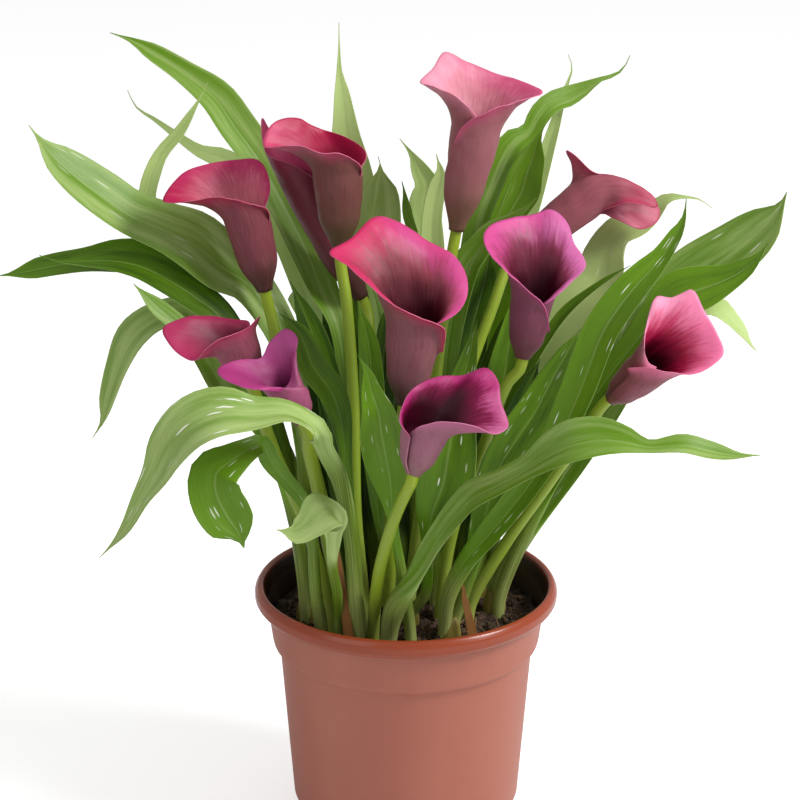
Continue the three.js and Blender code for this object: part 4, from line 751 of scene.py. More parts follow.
SOCKETS = {
    float: "NodeSocketFloat", int: "NodeSocketInt", "colour": "NodeSocketColor",
    "vector": "NodeSocketVector", "material": "NodeSocketMaterial", "geometry": "NodeSocketGeometry"}


def named_tree(name: str, kind: str, inputs: dict[str, Any], outputs: dict[str, Any]) -> NodeBench:
    """Starts a node tree with named inputs and outputs.

    Args:
        name: the tree's name.
        kind: the tree's type.
        inputs: the kind of each input, by name.
        outputs: the kind of each output, by name.

    Returns:
        The bench to build it on.
    """
    tree = bpy.data.node_groups.new(name, kind)
    for in_out, sockets in (("INPUT", inputs), ("OUTPUT", outputs)):
        for key, socket in sockets.items():
            tree.interface.new_socket(key, in_out=in_out, socket_type=SOCKETS[socket])
    return NodeBench(tree)


def geometry_tree(name: str, inputs: dict[str, Any]) -> NodeBench:
    """Starts a geometry tree that takes a mesh, a material and the named inputs."""
    return named_tree(name, "GeometryNodeTree", {"Geometry": "geometry", "Material": "material", **inputs},
                      {"Geometry": "geometry"})


def close_tree(bench: NodeBench, geometry: Wire) -> Tree:
    """Ends a geometry tree: copies made real, smooth faces, and the material.

    Args:
        bench: the bench of the tree.
        geometry: the finished geometry.

    Returns:
        The tree.
    """
    real = bench.get("GeometryNodeRealizeInstances", {"Geometry": geometry})
    soft = bench.get("GeometryNodeSetShadeSmooth", {"Geometry": real})
    return bench.close(bench.get("GeometryNodeSetMaterial", {
        "Geometry": soft, "Material": bench.given("Material")}))


def grow(name: str, mesh: Mesh, tree: Tree, values: dict[str, Any]) -> Piece:
    """Runs a geometry tree once on a mesh and keeps what it makes as a plain mesh.

    Args:
        name: the piece's name.
        mesh: the mesh that the tree starts from.
        tree: the geometry tree.
        values: what the tree's inputs are set to, by name.

    Returns:
        The piece.
    """
    piece = linked(name, mesh)
    modifier = piece.modifiers.new("growth", "NODES")
    modifier.node_group = tree
    for item in tree.interface.items_tree:
        if item.in_out == "INPUT" and item.name in values:
            modifier[item.identifier] = values[item.name]
    depsgraph = bpy.context.evaluated_depsgraph_get()
    grown = bpy.data.meshes.new_from_object(
        piece.evaluated_get(depsgraph), preserve_all_data_layers=True, depsgraph=depsgraph)
    piece.modifiers.clear()
    piece.data = grown
    grown.name = name
    return piece


def blade_tree() -> Tree:
    """Builds the tree that sweeps a leaf or a stem along its midrib.

    The midrib is a path whose points keep the half width, the way up, the fold, the wave, and how
    flat the section is: round on the stalk and folded on the blade.

    Returns:
        The tree.
    """
    bench = geometry_tree("blade along a midrib", {
        "Rings": int, "Section Points": int, "Edge Thickness": float, "Midrib Thickness": float,
        "Rib Height": float, "Wave Count": float})
    given, read = bench.given, bench.read
    spine = bench.get("GeometryNodeMeshToCurve", {"Mesh": given("Geometry")})
    path = bench.get("GeometryNodeResampleCurve", {"Curve": spine, "Count": given("Rings")})
    path = bench.keep(path, "spine", bench.get("GeometryNodeInputPosition"), "FLOAT_VECTOR")
    path = bench.keep(path, "heading", bench.get("GeometryNodeInputTangent"), "FLOAT_VECTOR")
    ring = bench.get("GeometryNodeCurvePrimitiveCircle", {
        "Resolution": given("Section Points"), "Radius": MM})
    section = bench.keep(ring, "turn", bench.get("GeometryNodeSplineParameter", out="Factor"))
    swept = bench.get("GeometryNodeCurveToMesh", {"Curve": path, "Profile Curve": section, "Fill Caps": True})

    angle = read("turn") * ONE_TURN
    across, rise = bench.math("COSINE", angle), bench.math("SINE", angle)
    off = abs(across)
    steepness, narrowness, full_width, thick_share = 4.0, 14.0, 8 * MM, 0.6
    upper = bench.math("MINIMUM", bench.math("MAXIMUM", rise * steepness, -1.0), 1.0)
    half, flat, share, fold = (read(name) for name in ("half", "flat", "share", "fold"))
    heading, up = read("heading", "FLOAT_VECTOR"), read("up", "FLOAT_VECTOR")
    up = bench.vector("NORMALIZE", up - heading * bench.vector("DOT_PRODUCT", up, heading))
    side = bench.vector("NORMALIZE", bench.vector("CROSS_PRODUCT", heading, up))

    cup = off * (off * 0.45 + 0.55) * bench.math("SINE", fold)
    phase = share * (given("Wave Count") * ONE_TURN) + (across * 1.1 + read("phase"))
    ripple = bench.math("SINE", phase) * (off * off) * read("wave")
    middle = given("Midrib Thickness") * (share * -0.5 + 1.0)
    thick = bench.math("MINIMUM", bench.between(off, middle, given("Edge Thickness")), half * thick_share)
    rib_size = given("Rib Height") * bench.math("MINIMUM", half / full_width, 1.0)
    lift = (ripple + cup) * half + thick * 0.5 * upper - (1.0 - off) ** narrowness * rib_size
    wide = bench.between(flat, half * across, half * across * bench.math("COSINE", fold))
    lift = bench.between(flat, half * rise, lift)
    place = read("spine", "FLOAT_VECTOR") + side * wide + up * lift
    shaped = bench.get("GeometryNodeSetPosition", {"Geometry": swept, "Position": place})
    return close_tree(bench, bench.keep(bench.keep(shaped, "across", across), "upper", upper))


@dataclass
class Midribs:
    """The midribs of one piece, gathered as one mesh of paths for the blade tree."""

    points: list[Vector] = field(default_factory=list)
    edges: list[tuple[int, int]] = field(default_factory=list)
    values: dict[str, list[Any]] = field(default_factory=dict)

    def lay(self, route: Sequence[Vector], half: Sequence[float], flat: Any, tone: float, seed: float,
            **values: Any) -> None:
        """Adds one midrib, plain and facing the front unless its values say otherwise.

        Args:
            route: its points, in millimetres.
            half: the half width at each point, in millimetres.
            flat: how flat the section is, 0 to 1: one value, or one for each point.
            tone: how pale it is; partly its own colour and partly painted light, paler for painted sheen and
                glow, darker for painted shade.
            seed: what its pattern starts from.
            values: what else the points keep, by name, one value for all.
        """
        start = len(self.points)
        self.points.extend(route)
        self.edges.extend((start + i, start + i + 1) for i in range(len(route) - 1))
        plain = {"up": FRONT, "fold": 0.0, "wave": 0.0, "phase": 0.0, "flecks": 0.0}
        kept = {"share": shares(route), "half": [h * MM for h in half], "flat": flat, "tone": tone,
                "seed": seed, **plain, **values}
        for name, value in kept.items():
            row = value if isinstance(value, list) else [value] * len(route)
            self.values.setdefault(name, []).extend(row)

    def mesh(self, name: str) -> Mesh:
        """Makes the mesh of paths with everything that its points keep."""
        return mesh_of(name, self.points, edges=self.edges, **self.values)


@dataclass
class Foliage:
    """The leafy shoots: every blade on its stalk, and the sheaths at their feet."""

    tree: Tree
    tissue: Material
    husk: Material
    rings: int = 64
    section_points: int = 32
    steps: int = 160
    edge_thickness: float = 0.35
    midrib_thickness: float = 1.5
    rib_height: float = 0.35
    wave_count: float = 2.6
    opening_share: float = 0.16
    tip_share: float = 0.07
    tip_taper: float = 0.75
    foot_spread: float = 0.05
    spread_height: float = 60.0
    sheath_top: float = 113.0
    sheath_share: float = 0.8
    sheath_taper: float = 0.25
    sheath_mouth: float = 0.7
    sheath_steps: int = 12
    sheath_rings: int = 14

    def leaf(self, ribs: Midribs, leaf: LeafForm, root: float, order: int) -> None:
        """Lays one leaf's midrib with its widths.

        Args:
            ribs: where the midribs are gathered.
            leaf: the leaf.
            root: the height that its stalk starts at.
            order: the leaf's number, which seeds its waves.
        """
        rooted = [(*leaf.foot, root, leaf.stalk), (*leaf.foot, ROOTED_Z, leaf.stalk), *leaf.path]
        route = SmoothCurve(rooted).spread(self.steps)
        along = shares(route)
        half = []
        for k, (point, share) in enumerate(zip(route, along)):
            tip = smooth((share - 1 + self.tip_share) / self.tip_share)
            foot = 1 - smooth((point.z - SOIL_Z) / self.spread_height)
            width = width_at([p[3] for p in rooted], k / self.steps)
            half.append(width * (1 - self.tip_taper * tip) * (1 + self.foot_spread * foot))
        random.seed(order)
        phase, seed = random.uniform(0, 6.28), random.uniform(0, 20)
        flat = [smooth((share - leaf.flat_from) / self.opening_share + 0.5) for share in along]
        ribs.lay(route, half, flat, leaf.tone, seed, up=Vector(leaf.face).normalized(),
                 fold=math.radians(leaf.fold), wave=leaf.wave, phase=phase, flecks=leaf.flecks)

    def grow_piece(self, name: str, ribs: Midribs, rings: int, material: Material) -> Piece:
        """Grows the blades of one piece along its midribs."""
        return grow(name, ribs.mesh(name), self.tree, {
            "Rings": rings, "Section Points": self.section_points, "Material": material,
            "Edge Thickness": self.edge_thickness * MM, "Midrib Thickness": self.midrib_thickness * MM,
            "Rib Height": self.rib_height * MM, "Wave Count": self.wave_count})

    def shoot(self, shoot: ShootForm, order: int) -> Piece:
        """Grows one shoot's leaves as one piece.

        Args:
            shoot: the shoot.
            order: the shoot's number.

        Returns:
            The piece.
        """
        ribs = Midribs()
        root = ROOT_Z + 2 if shoot.radius else ROOT_Z
        for i, leaf in enumerate(shoot.leaves):
            self.leaf(ribs, leaf, root, 10 * order + i)
        return self.grow_piece("foliage_" + shoot.node, ribs, self.rings, self.tissue)

    def sheaths(self) -> Piece:
        """Grows the short sheath at the foot of every shoot and the dry strips, as one piece."""
        ribs = Midribs()
        tall = self.sheath_top - ROOT_Z
        heights = [ROOT_Z + tall * i / self.sheath_steps for i in range(self.sheath_steps + 1)]
        risen = [smooth((z - SOIL_Z) / (self.sheath_top - SOIL_Z)) for z in heights]
        narrowing = [self.sheath_share * (1 - self.sheath_taper * r) for r in risen]
        narrowing[-1] *= self.sheath_mouth
        for shoot in SHOOTS:
            if shoot.radius:
                ribs.lay([Vector((*shoot.foot, z)) for z in heights], [shoot.radius * n for n in narrowing],
                         0.0, 0.5, shoot.foot[0])
        for strip in DRY_STRIPS:
            route = [Vector(point) for point in reversed(strip)]
            ribs.lay(route, DRY_HALF_WIDTHS, 1.0, 0.6, route[0].x, fold=0.2)
        return self.grow_piece("shoot_sheaths", ribs, self.sheath_rings, self.husk)

    def build(self) -> None:
        """Builds every shoot and the sheaths, and ties them to the frame's body."""
        for order, shoot in enumerate(SHOOTS):
            hand_in(self.shoot(shoot, order), Slot.LEAF, shoot.node)
        hand_in(self.shoot(INNER_SHADED_LEAVES, len(SHOOTS)), Slot.LEAF)
        hand_in(self.sheaths(), Slot.LEAF)


@dataclass
class FlowerStem:
    """One round flower stem, from the soil into the foot of its spathe."""

    form: BloomForm
    tree: Tree
    skin: Material
    radius: float = 2.75
    foot_share: float = 1.04
    taper: float = 0.1
    in_tube: float = 6.0
    rings: int = 40
    section_points: int = 20
    steps: int = 120

    def build(self) -> None:
        """Grows the stem and ties it to the frame's body."""
        form = self.form
        foot = Vector(form.foot)
        reach = (Vector(form.throat) - foot).normalized() * self.in_tube
        route = SmoothCurve([
            (*form.stem_foot, ROOT_Z), (*form.stem_foot, ROOTED_Z), *form.stem_path,
            foot - reach, foot + reach]).spread(self.steps)
        ribs = Midribs()
        ribs.lay(route, [self.radius * (self.foot_share - self.taper * s) for s in shares(route)], 0.0,
                 form.number * 0.37 % 1.0, float(form.number))
        name = "flower_stem_" + form.label
        piece = grow(name, ribs.mesh(name), self.tree, {
            "Rings": self.rings, "Section Points": self.section_points, "Edge Thickness": MM,
            "Midrib Thickness": MM, "Rib Height": 0.0, "Wave Count": 0.0, "Material": self.skin})
        hand_in(piece, Slot.STEM, "stem_" + form.label)


@dataclass
class Spathe:
    """One spathe: the coloured sheet rolled into a tube, which opens out to its rim and tip."""

    form: BloomForm
    skin: Material
    foot_radius: float = 3.05
    spiral: float = 2.0
    wall: float = 0.9
    rim_wall: float = 0.36
    tube_share: float = 0.55
    tube_reach: float = 0.82
    swell_share: float = 0.42
    swell_power: float = 0.8
    flare_from: float = 0.3
    thin_from: float = 0.6
    ripple: float = 0.5
    ripple_grain: float = 0.16
    columns: int = 84
    rows: int = 44

    def rim_at(self, u: float) -> tuple[float, Vector]:
        """Reads the rim: the angle round the tube, in radians, and the point."""
        rim = self.form.rim
        t = u * (len(rim) - 1)
        low = min(len(rim) - 2, int(t))
        angle = rim[low][0] + (rim[low + 1][0] - rim[low][0]) * (t - low)
        return math.radians(angle), SmoothCurve([row[1:] for row in rim]).at(u)

    def column(self, u: float) -> list[Vector]:
        """Makes one line of the sheet, from the foot up the tube and out to the rim.

        Args:
            u: the place across the sheet, 0 to 1.

        Returns:
            The points of the middle of the sheet.
        """
        form = self.form
        foot = Vector(form.foot)
        axis = Vector(form.throat) - foot
        tube = axis.length
        axis.normalize()
        front = Vector(form.front)
        front = (front - axis * front.dot(axis)).normalized()
        angle, rim = self.rim_at(u)
        around = front * math.cos(angle) + axis.cross(front) * math.sin(angle)
        top = min(tube, (rim - foot).dot(axis) * self.tube_reach)

        def on_tube(height: float) -> Vector:
            swell = smooth(height / (self.swell_share * tube)) ** self.swell_power
            spread = smooth((height / tube - self.flare_from) / (1 - self.flare_from))
            belly = self.foot_radius + (form.belly - self.foot_radius) * swell
            radius = belly + (form.opening - form.belly) * spread
            return foot + axis * height + around * (radius + self.spiral * (0.5 - u) * (0.4 + 0.6 * swell))

        start = on_tube(top)
        reach = rim - start
        rise = reach.dot(axis)
        outward = reach - axis * rise
        a = start + axis * max(2.0, 0.6 * rise) + outward * 0.12
        b = rim - outward * 0.4 - axis * 0.12 * rise
        points = []
        for k in range(self.rows + 1):
            v = k / self.rows
            if v <= self.tube_share:
                points.append(on_tube(top * v / self.tube_share))
                continue
            t = (v - self.tube_share) / (1 - self.tube_share)
            r = 1 - t
            points.append(start * r ** 3 + a * 3 * t * r ** 2 + b * 3 * t * t * r + rim * t ** 3)
        return points

    def build(self) -> None:
        """Builds the closed sheet, marks its two faces and ties it to the frame's body."""
        rows, columns = self.rows, self.columns
        places = [i / columns for i in range(columns + 1)]
        if self.form.rim[-1][0] < self.form.rim[0][0]:
            places.reverse()
        grid = [self.column(place) for place in places]
        outer: list[Vector] = []
        inner: list[Vector] = []
        for i, line in enumerate(grid):
            for k, middle in enumerate(line):
                across = grid[min(columns, i + 1)][k] - grid[max(0, i - 1)][k]
                along = line[min(rows, k + 1)] - line[max(0, k - 1)]
                normal = across.cross(along).normalized()
                thinning = smooth((k / rows - self.thin_from) / (1 - self.thin_from))
                half = (self.wall + (self.rim_wall - self.wall) * thinning) / 2
                spot = middle * self.ripple_grain + Vector((self.form.number, 0, 0))
                ripple = noise.noise(spot) * self.ripple
                shifted = middle + normal * ripple * smooth(k / rows * 1.6)
                outer.append(shifted + normal * half)
                inner.append(shifted - normal * half)
        name = "spathe_petal_" + self.form.label
        mesh = mesh_of(
            name, outer + inner, faces=self.sheet_faces(),
            height=[k / rows for k in range(rows + 1)] * (columns + 1) * 2,
            around=[place for place in places for _ in range(rows + 1)] * 2,
            inside=[0.0] * len(outer) + [1.0] * len(inner))
        hand_in(linked(name, mesh, self.skin), Slot.SPATHE, "spathe_" + self.form.label)

    def sheet_faces(self) -> list[Face]:
        """Gives the faces of a closed sheet of two grids, facing out."""
        rows, columns = self.rows, self.columns
        tall = rows + 1
        size = tall * (columns + 1)
        faces: list[Face] = []
        for i in range(columns):
            for low in range(i * tall, i * tall + rows):
                quad = (low, low + tall, low + tall + 1, low + 1)
                faces += [quad, tuple(size + quad[corner] for corner in (0, 3, 2, 1))]
        border = [*range(0, columns * tall, tall), *range(columns * tall, size - 1),
                  *range(size - 1, rows, -tall), *range(rows, 0, -1)]
        for here, after in zip(border, border[1:] + border[:1]):
            faces.append((here, here + size, after + size, after))
        return faces


def floret_tree() -> Tree:
    """Builds the tree that sets florets in a spiral on a spadix.

    Returns:
        The tree.
    """
    bench = geometry_tree("florets in a spiral", {
        "Florets": int, "Length": float, "Radius": float, "Floret Radius": float, "Start": "vector",
        "Axis": "vector", "Side": "vector", "Other": "vector"})
    given = bench.given
    cloud = bench.get("GeometryNodePoints", {"Count": given("Florets")})
    index = bench.get("GeometryNodeInputIndex")
    share = index / given("Florets")
    angle = index * GOLDEN_ANGLE
    blunt_tip, sunk_share = 0.02, 0.45
    taper = bench.math("SQRT", bench.math("MAXIMUM", 1.0 - share ** 3.0, blunt_tip))
    radius = given("Radius") * taper - given("Floret Radius") * sunk_share
    place = given("Start") + given("Axis") * (share * given("Length"))
    for direction, part in (("Side", "COSINE"), ("Other", "SINE")):
        place = place + given(direction) * (radius * bench.math(part, angle))
    spread = bench.get("GeometryNodeSetPosition", {"Geometry": cloud, "Position": place})
    bead = bench.get("GeometryNodeMeshIcoSphere", {"Radius": given("Floret Radius"), "Subdivisions": 2})
    beads = bench.get("GeometryNodeInstanceOnPoints", {
        "Points": spread, "Instance": bead, "Scale": bench.chance(0.8, 1.1, 5)})
    both = bench.add("GeometryNodeJoinGeometry")
    for geometry in (given("Geometry"), beads):
        bench.fill(both.inputs[0], geometry)
    return close_tree(bench, Wire(bench, both.outputs[0]))


@dataclass
class Spadix:
    """The finger of tiny florets inside a spathe."""

    form: BloomForm
    tree: Tree
    skin: Material
    radius: float = 2.7
    full_belly: float = 8.0
    core_share: float = 0.86
    blunt_tip: float = 0.05
    above_foot: float = 6.3
    length_share: float = 0.75
    tip: float = 0.4
    florets: int = 130
    floret_radius: float = 0.62
    sides: int = 16
    rings: int = 12

    def build(self) -> None:
        """Builds the core, sets the florets round it and ties the spadix to the frame's body."""
        form = self.form
        foot = Vector(form.foot)
        axis = Vector(form.throat) - foot
        length = self.length_share * axis.length
        widest = self.radius * min(1.0, form.belly / self.full_belly)
        axis.normalize()
        start = foot + axis * self.above_foot
        side = (Vector((1, 0, 0)) - axis * axis.x).normalized()
        other = axis.cross(side)
        points = [start]
        for k in range(self.rings):
            share = k / (self.rings - 1)
            radius = widest * self.core_share * math.sqrt(max(self.blunt_tip, 1 - share ** 3))
            middle = start + axis * share * length
            points += [middle + side * radius * c + other * radius * s for c, s in turns(self.sides)]
        points.append(start + axis * (length + self.tip))
        faces = [face[::-1] for face in ring_faces(self.rings, self.sides)]
        name = "spadix_florets_" + form.label
        piece = grow(name, mesh_of(name, points, faces=faces), self.tree, {
            "Florets": self.florets, "Length": length * MM, "Radius": widest * MM,
            "Floret Radius": self.floret_radius * MM, "Start": start * MM, "Axis": axis,
            "Side": side, "Other": other, "Material": self.skin})
        hand_in(piece, Slot.SPADIX, "spadix_" + form.label)


def turned_tree() -> Tree:
    """Builds the tree that turns a pot from its half profile and drills its drain holes.

    Returns:
        The tree.
    """
    bench = geometry_tree("turned pot", {
        "Segments": int, "Drain Holes": int, "Drain Radius": float, "Drain Circle": float})
    given = bench.given
    profile = bench.get("GeometryNodeMeshToCurve", {"Mesh": given("Geometry")})
    ring = bench.get("GeometryNodeCurvePrimitiveCircle", {"Resolution": given("Segments"), "Radius": MM})
    turn = bench.keep(ring, "turn", bench.get("GeometryNodeSplineParameter", out="Factor"))
    swept = bench.get("GeometryNodeCurveToMesh", {
        "Curve": turn, "Profile Curve": profile, "Fill Caps": False})
    angle, radius = bench.read("turn") * ONE_TURN, bench.read("reach")
    place = bench.place(radius * bench.math("COSINE", angle), radius * bench.math("SINE", angle),
                        bench.read("level"))
    turned = bench.get("GeometryNodeSetPosition", {"Geometry": swept, "Position": place})
    closed = bench.get("GeometryNodeMergeByDistance", {"Geometry": turned, "Distance": 1e-6})
    spots = bench.get("GeometryNodeMeshCircle", {
        "Vertices": given("Drain Holes"), "Radius": given("Drain Circle")})
    half_step = bench.math("DIVIDE", math.pi, given("Drain Holes"))
    between = bench.get("GeometryNodeTransform", {
        "Geometry": spots, "Rotation": bench.place(0.0, 0.0, half_step)})
    drill = bench.get("GeometryNodeMeshCylinder", {
        "Vertices": 24, "Radius": given("Drain Radius"), "Depth": 30 * MM})
    drills = bench.get("GeometryNodeInstanceOnPoints", {"Points": between, "Instance": drill})
    pierced = bench.add("GeometryNodeMeshBoolean", operation="DIFFERENCE")
    bench.fill(pierced.inputs[0], closed)
    bench.fill(pierced.inputs[1], bench.get("GeometryNodeRealizeInstances", {"Geometry": drills}))
    return close_tree(bench, Wire(bench, pierced.outputs[0]))


@dataclass
class Pot:
    """The moulded nursery pot: rolled lip, collar, shoulder, tapered body, foot ring and floor."""

    skin: Material
    height: float = 120.0
    rim_radius: float = 71.2
    rim_inner_radius: float = 67.2
    lip_height: float = 8.5
    collar_top_radius: float = 65.6
    collar_low_radius: float = 63.2
    shoulder_z: float = 89.0
    body_top_radius: float = 59.8
    foot_z: float = 12.0
    body_low_radius: float = 54.0
    foot_radius: float = 52.0
    foot_ring: float = 4.0
    floor_under_z: float = 2.5
    floor_top_z: float = 4.5
    pad_radius: float = 12.0
    wall: float = 1.6
    rounding: float = 0.7
    segments: int = 144
    drain_holes: int = 6
    drain_radius: float = 4.0
    drain_circle: float = 32.0

    def corners(self) -> list[tuple[float, float]]:
        """Gives the half profile, from the middle of the underside round to the middle of the floor."""
        lip_z = self.height - self.lip_height
        ring = self.foot_radius - self.foot_ring
        low, top = self.collar_low_radius, self.collar_top_radius
        return [
            (0, 0), (self.pad_radius, 0), (self.pad_radius + 2, self.floor_under_z),
            (ring, self.floor_under_z), (ring, 0), (self.foot_radius, 0),
            (self.foot_radius + 0.5, self.foot_z - 1.5), (self.body_low_radius, self.foot_z),
            (self.body_top_radius, self.shoulder_z), (low - 0.6, self.shoulder_z + 2),
            (low, self.shoulder_z + 4.5), (top, lip_z), (self.rim_radius - 1.4, lip_z),
            (self.rim_radius, lip_z + 2), (self.rim_radius, self.height - 3),
            (self.rim_radius - 1.4, self.height - 0.6), (self.rim_inner_radius + 1.2, self.height),
            (self.rim_inner_radius, self.height - 0.8), (top - self.wall + 0.6, lip_z - 1),
            (low - self.wall, self.shoulder_z + 4), (self.body_top_radius - self.wall, self.shoulder_z - 1),
            (self.body_low_radius - self.wall, self.foot_z),
            (self.foot_radius - self.wall - 0.8, self.floor_top_z), (0, self.floor_top_z)]

    def profile(self) -> list[tuple[float, float]]:
        """Gives the half profile with every corner rounded a little."""
        corners = self.corners()
        points = [corners[0]]
        for before, here, after in zip(corners, corners[1:], corners[2:]):
            corner = Vector(here)
            ends = []
            for other in (before, after):
                leg = Vector(other) - corner
                ends.append(corner + leg.normalized() * min(self.rounding, 0.4 * leg.length))
            for t in (0.0, 0.25, 0.5, 0.75, 1.0):
                points.append(tuple(ends[0] * (1 - t) ** 2 + corner * 2 * t * (1 - t) + ends[1] * t * t))
        return [*points, corners[-1]]

    def build(self) -> None:
        """Turns the pot and ties it to the frame's body."""
        profile = self.profile()
        path = mesh_of(
            "pot_shell", [Vector((r, 0, z)) for r, z in profile],
            edges=[(i, i + 1) for i in range(len(profile) - 1)],
            reach=[r * MM for r, _ in profile], level=[z * MM for _, z in profile])
        hand_in(grow("pot_shell", path, turned_tree(), {
            "Segments": self.segments, "Drain Holes": self.drain_holes,
            "Drain Radius": self.drain_radius * MM, "Drain Circle": self.drain_circle * MM,
            "Material": self.skin}), Slot.POT, "pot")


def scatter_tree() -> Tree:
    """Builds the tree that strews crumbs and fibres over the peat.

    Returns:
        The tree.
    """
    bench = geometry_tree("strewn bits", {
        "Density": float, "Smallest": float, "Largest": float, "Length": float, "Bend": float, "Seed": int})
    given = bench.given
    spread = bench.get("GeometryNodeDistributePointsOnFaces", {
        "Mesh": given("Geometry"), "Density": given("Density"), "Seed": given("Seed")})
    bit = bench.get("GeometryNodeMeshCylinder", {
        "Vertices": 6, "Side Segments": 3, "Radius": 1.0, "Depth": 2.0})
    along = bench.get("ShaderNodeSeparateXYZ", {"Vector": bench.get("GeometryNodeInputPosition")}, 2)
    bow = bench.place(along * along * given("Bend"), 0.0, 0.0)
    bent = bench.get("GeometryNodeSetPosition", {"Geometry": bit, "Offset": bow})
    width = bench.chance(given("Smallest"), given("Largest"), given("Seed"))
    size = bench.place(width, width * 0.8, width * bench.chance(0.5, 1.5, 3) * given("Length"))
    spin = bench.add("FunctionNodeRandomValue", {"Seed": 8}, data_type="FLOAT_VECTOR")
    spin.inputs[0].default_value = (1.1, -0.6, 0.0)
    spin.inputs[1].default_value = (2.0, 0.6, 6.28)
    return close_tree(bench, bench.get("GeometryNodeInstanceOnPoints", {
        "Points": spread, "Instance": bent, "Rotation": Wire(bench, spin.outputs[0]), "Scale": size}))


@dataclass(frozen=True)
class Litter:
    """One kind of loose bits on the peat: how dense, wide, long and bent, and their seed."""

    name: str
    density: float
    smallest: float
    largest: float
    length: float
    bend: float
    seed: int
    material: Material


@dataclass
class Peat:
    """The potting soil: an uneven, crumbly top on a filled body, with loose crumbs and fibres."""

    soil: Material
    crumb: Material
    fibre: Material
    radius: float = 62.2
    rings: int = 70
    sides: int = 180
    filled: tuple[tuple[float, float], ...] = ((56.3, 92.0), (49.2, 13.0), (46.6, 4.9))
    sink: float = 1.6
    hill_grain: float = 0.035
    hill_height: float = 2.2
    lump_grain: float = 0.24
    lump_height: float = 3.6
    lump_octaves: int = 4
    strewn_radius: float = 57.5
    strewn_lift: float = 0.3
    strewn_rings: int = 16
    strewn_sides: int = 48

    def height(self, x: float, y: float) -> float:
        """Gives the height of the peat's top at a place, in millimetres."""
        spot = Vector((x, y, 0.0))
        hills = noise.noise(spot * self.hill_grain) * self.hill_height
        lumps = noise.turbulence(spot * self.lump_grain, self.lump_octaves, False) * self.lump_height
        return SOIL_Z - self.sink + hills + lumps

    def ring(self, radius: float, sides: int, lift: float = 0.0) -> list[Vector]:
        """Gives a ring of points on the peat's top, or a little over it."""
        return [Vector((radius * c, radius * s, self.height(radius * c, radius * s) + lift))
                for c, s in turns(sides)]

    def ground(self) -> Piece:
        """Builds the filled body with its uneven top."""
        points = [Vector((0, 0, self.height(0, 0)))]
        for k in range(1, self.rings + 1):
            points += self.ring(self.radius * k / self.rings, self.sides)
        for r, z in self.filled:
            points += [Vector((r * c, r * s, z)) for c, s in turns(self.sides)]
        points.append(Vector((0, 0, self.filled[-1][1])))
        faces = ring_faces(self.rings + len(self.filled), self.sides)
        return linked("peat", mesh_of("peat", points, faces=faces), self.soil)

    def top(self) -> Mesh:
        """Makes a bare copy of the peat's top for the strewing tree."""
        points = []
        for k in range(self.strewn_rings + 1):
            radius = max(0.5, self.strewn_radius * k / self.strewn_rings)
            points += self.ring(radius, self.strewn_sides, self.strewn_lift)
        return mesh_of("peat_top", points, faces=ring_faces(self.strewn_rings + 1, self.strewn_sides, False))

    def build(self) -> None:
        """Builds the ground, strews it and ties the pieces to the frame's body."""
        hand_in(self.ground(), Slot.SOIL, "soil")
        tree = scatter_tree()
        for bits in (Litter("peat_crumbs", 160000.0, 0.4, 1.5, 0.9, 0.1, 11, self.crumb),
                     Litter("peat_fibres", 26000.0, 0.1, 0.2, 24.0, 5.0, 23, self.fibre)):
            hand_in(grow(bits.name, self.top(), tree, {
                "Density": bits.density, "Smallest": bits.smallest * MM, "Largest": bits.largest * MM,
                "Length": bits.length, "Bend": bits.bend, "Seed": bits.seed,
                "Material": bits.material}), Slot.SOIL)


def pattern_group(name: str, colours: Sequence[str], **others: Any) -> NodeBench:
    """Starts a shader group that gives out a colour, a roughness and a height.

    Args:
        name: the group's name.
        colours: the names of its colour inputs.
        others: the kind of each other input, by name with a low line for a space.

    Returns:
        The bench to build it on.
    """
    more = {key.replace("_", " "): kind for key, kind in others.items()}
    return named_tree(name, "ShaderNodeTree", {**dict.fromkeys(colours, "colour"), **more},
                      {"Colour": "colour", "Roughness": float, "Height": float})


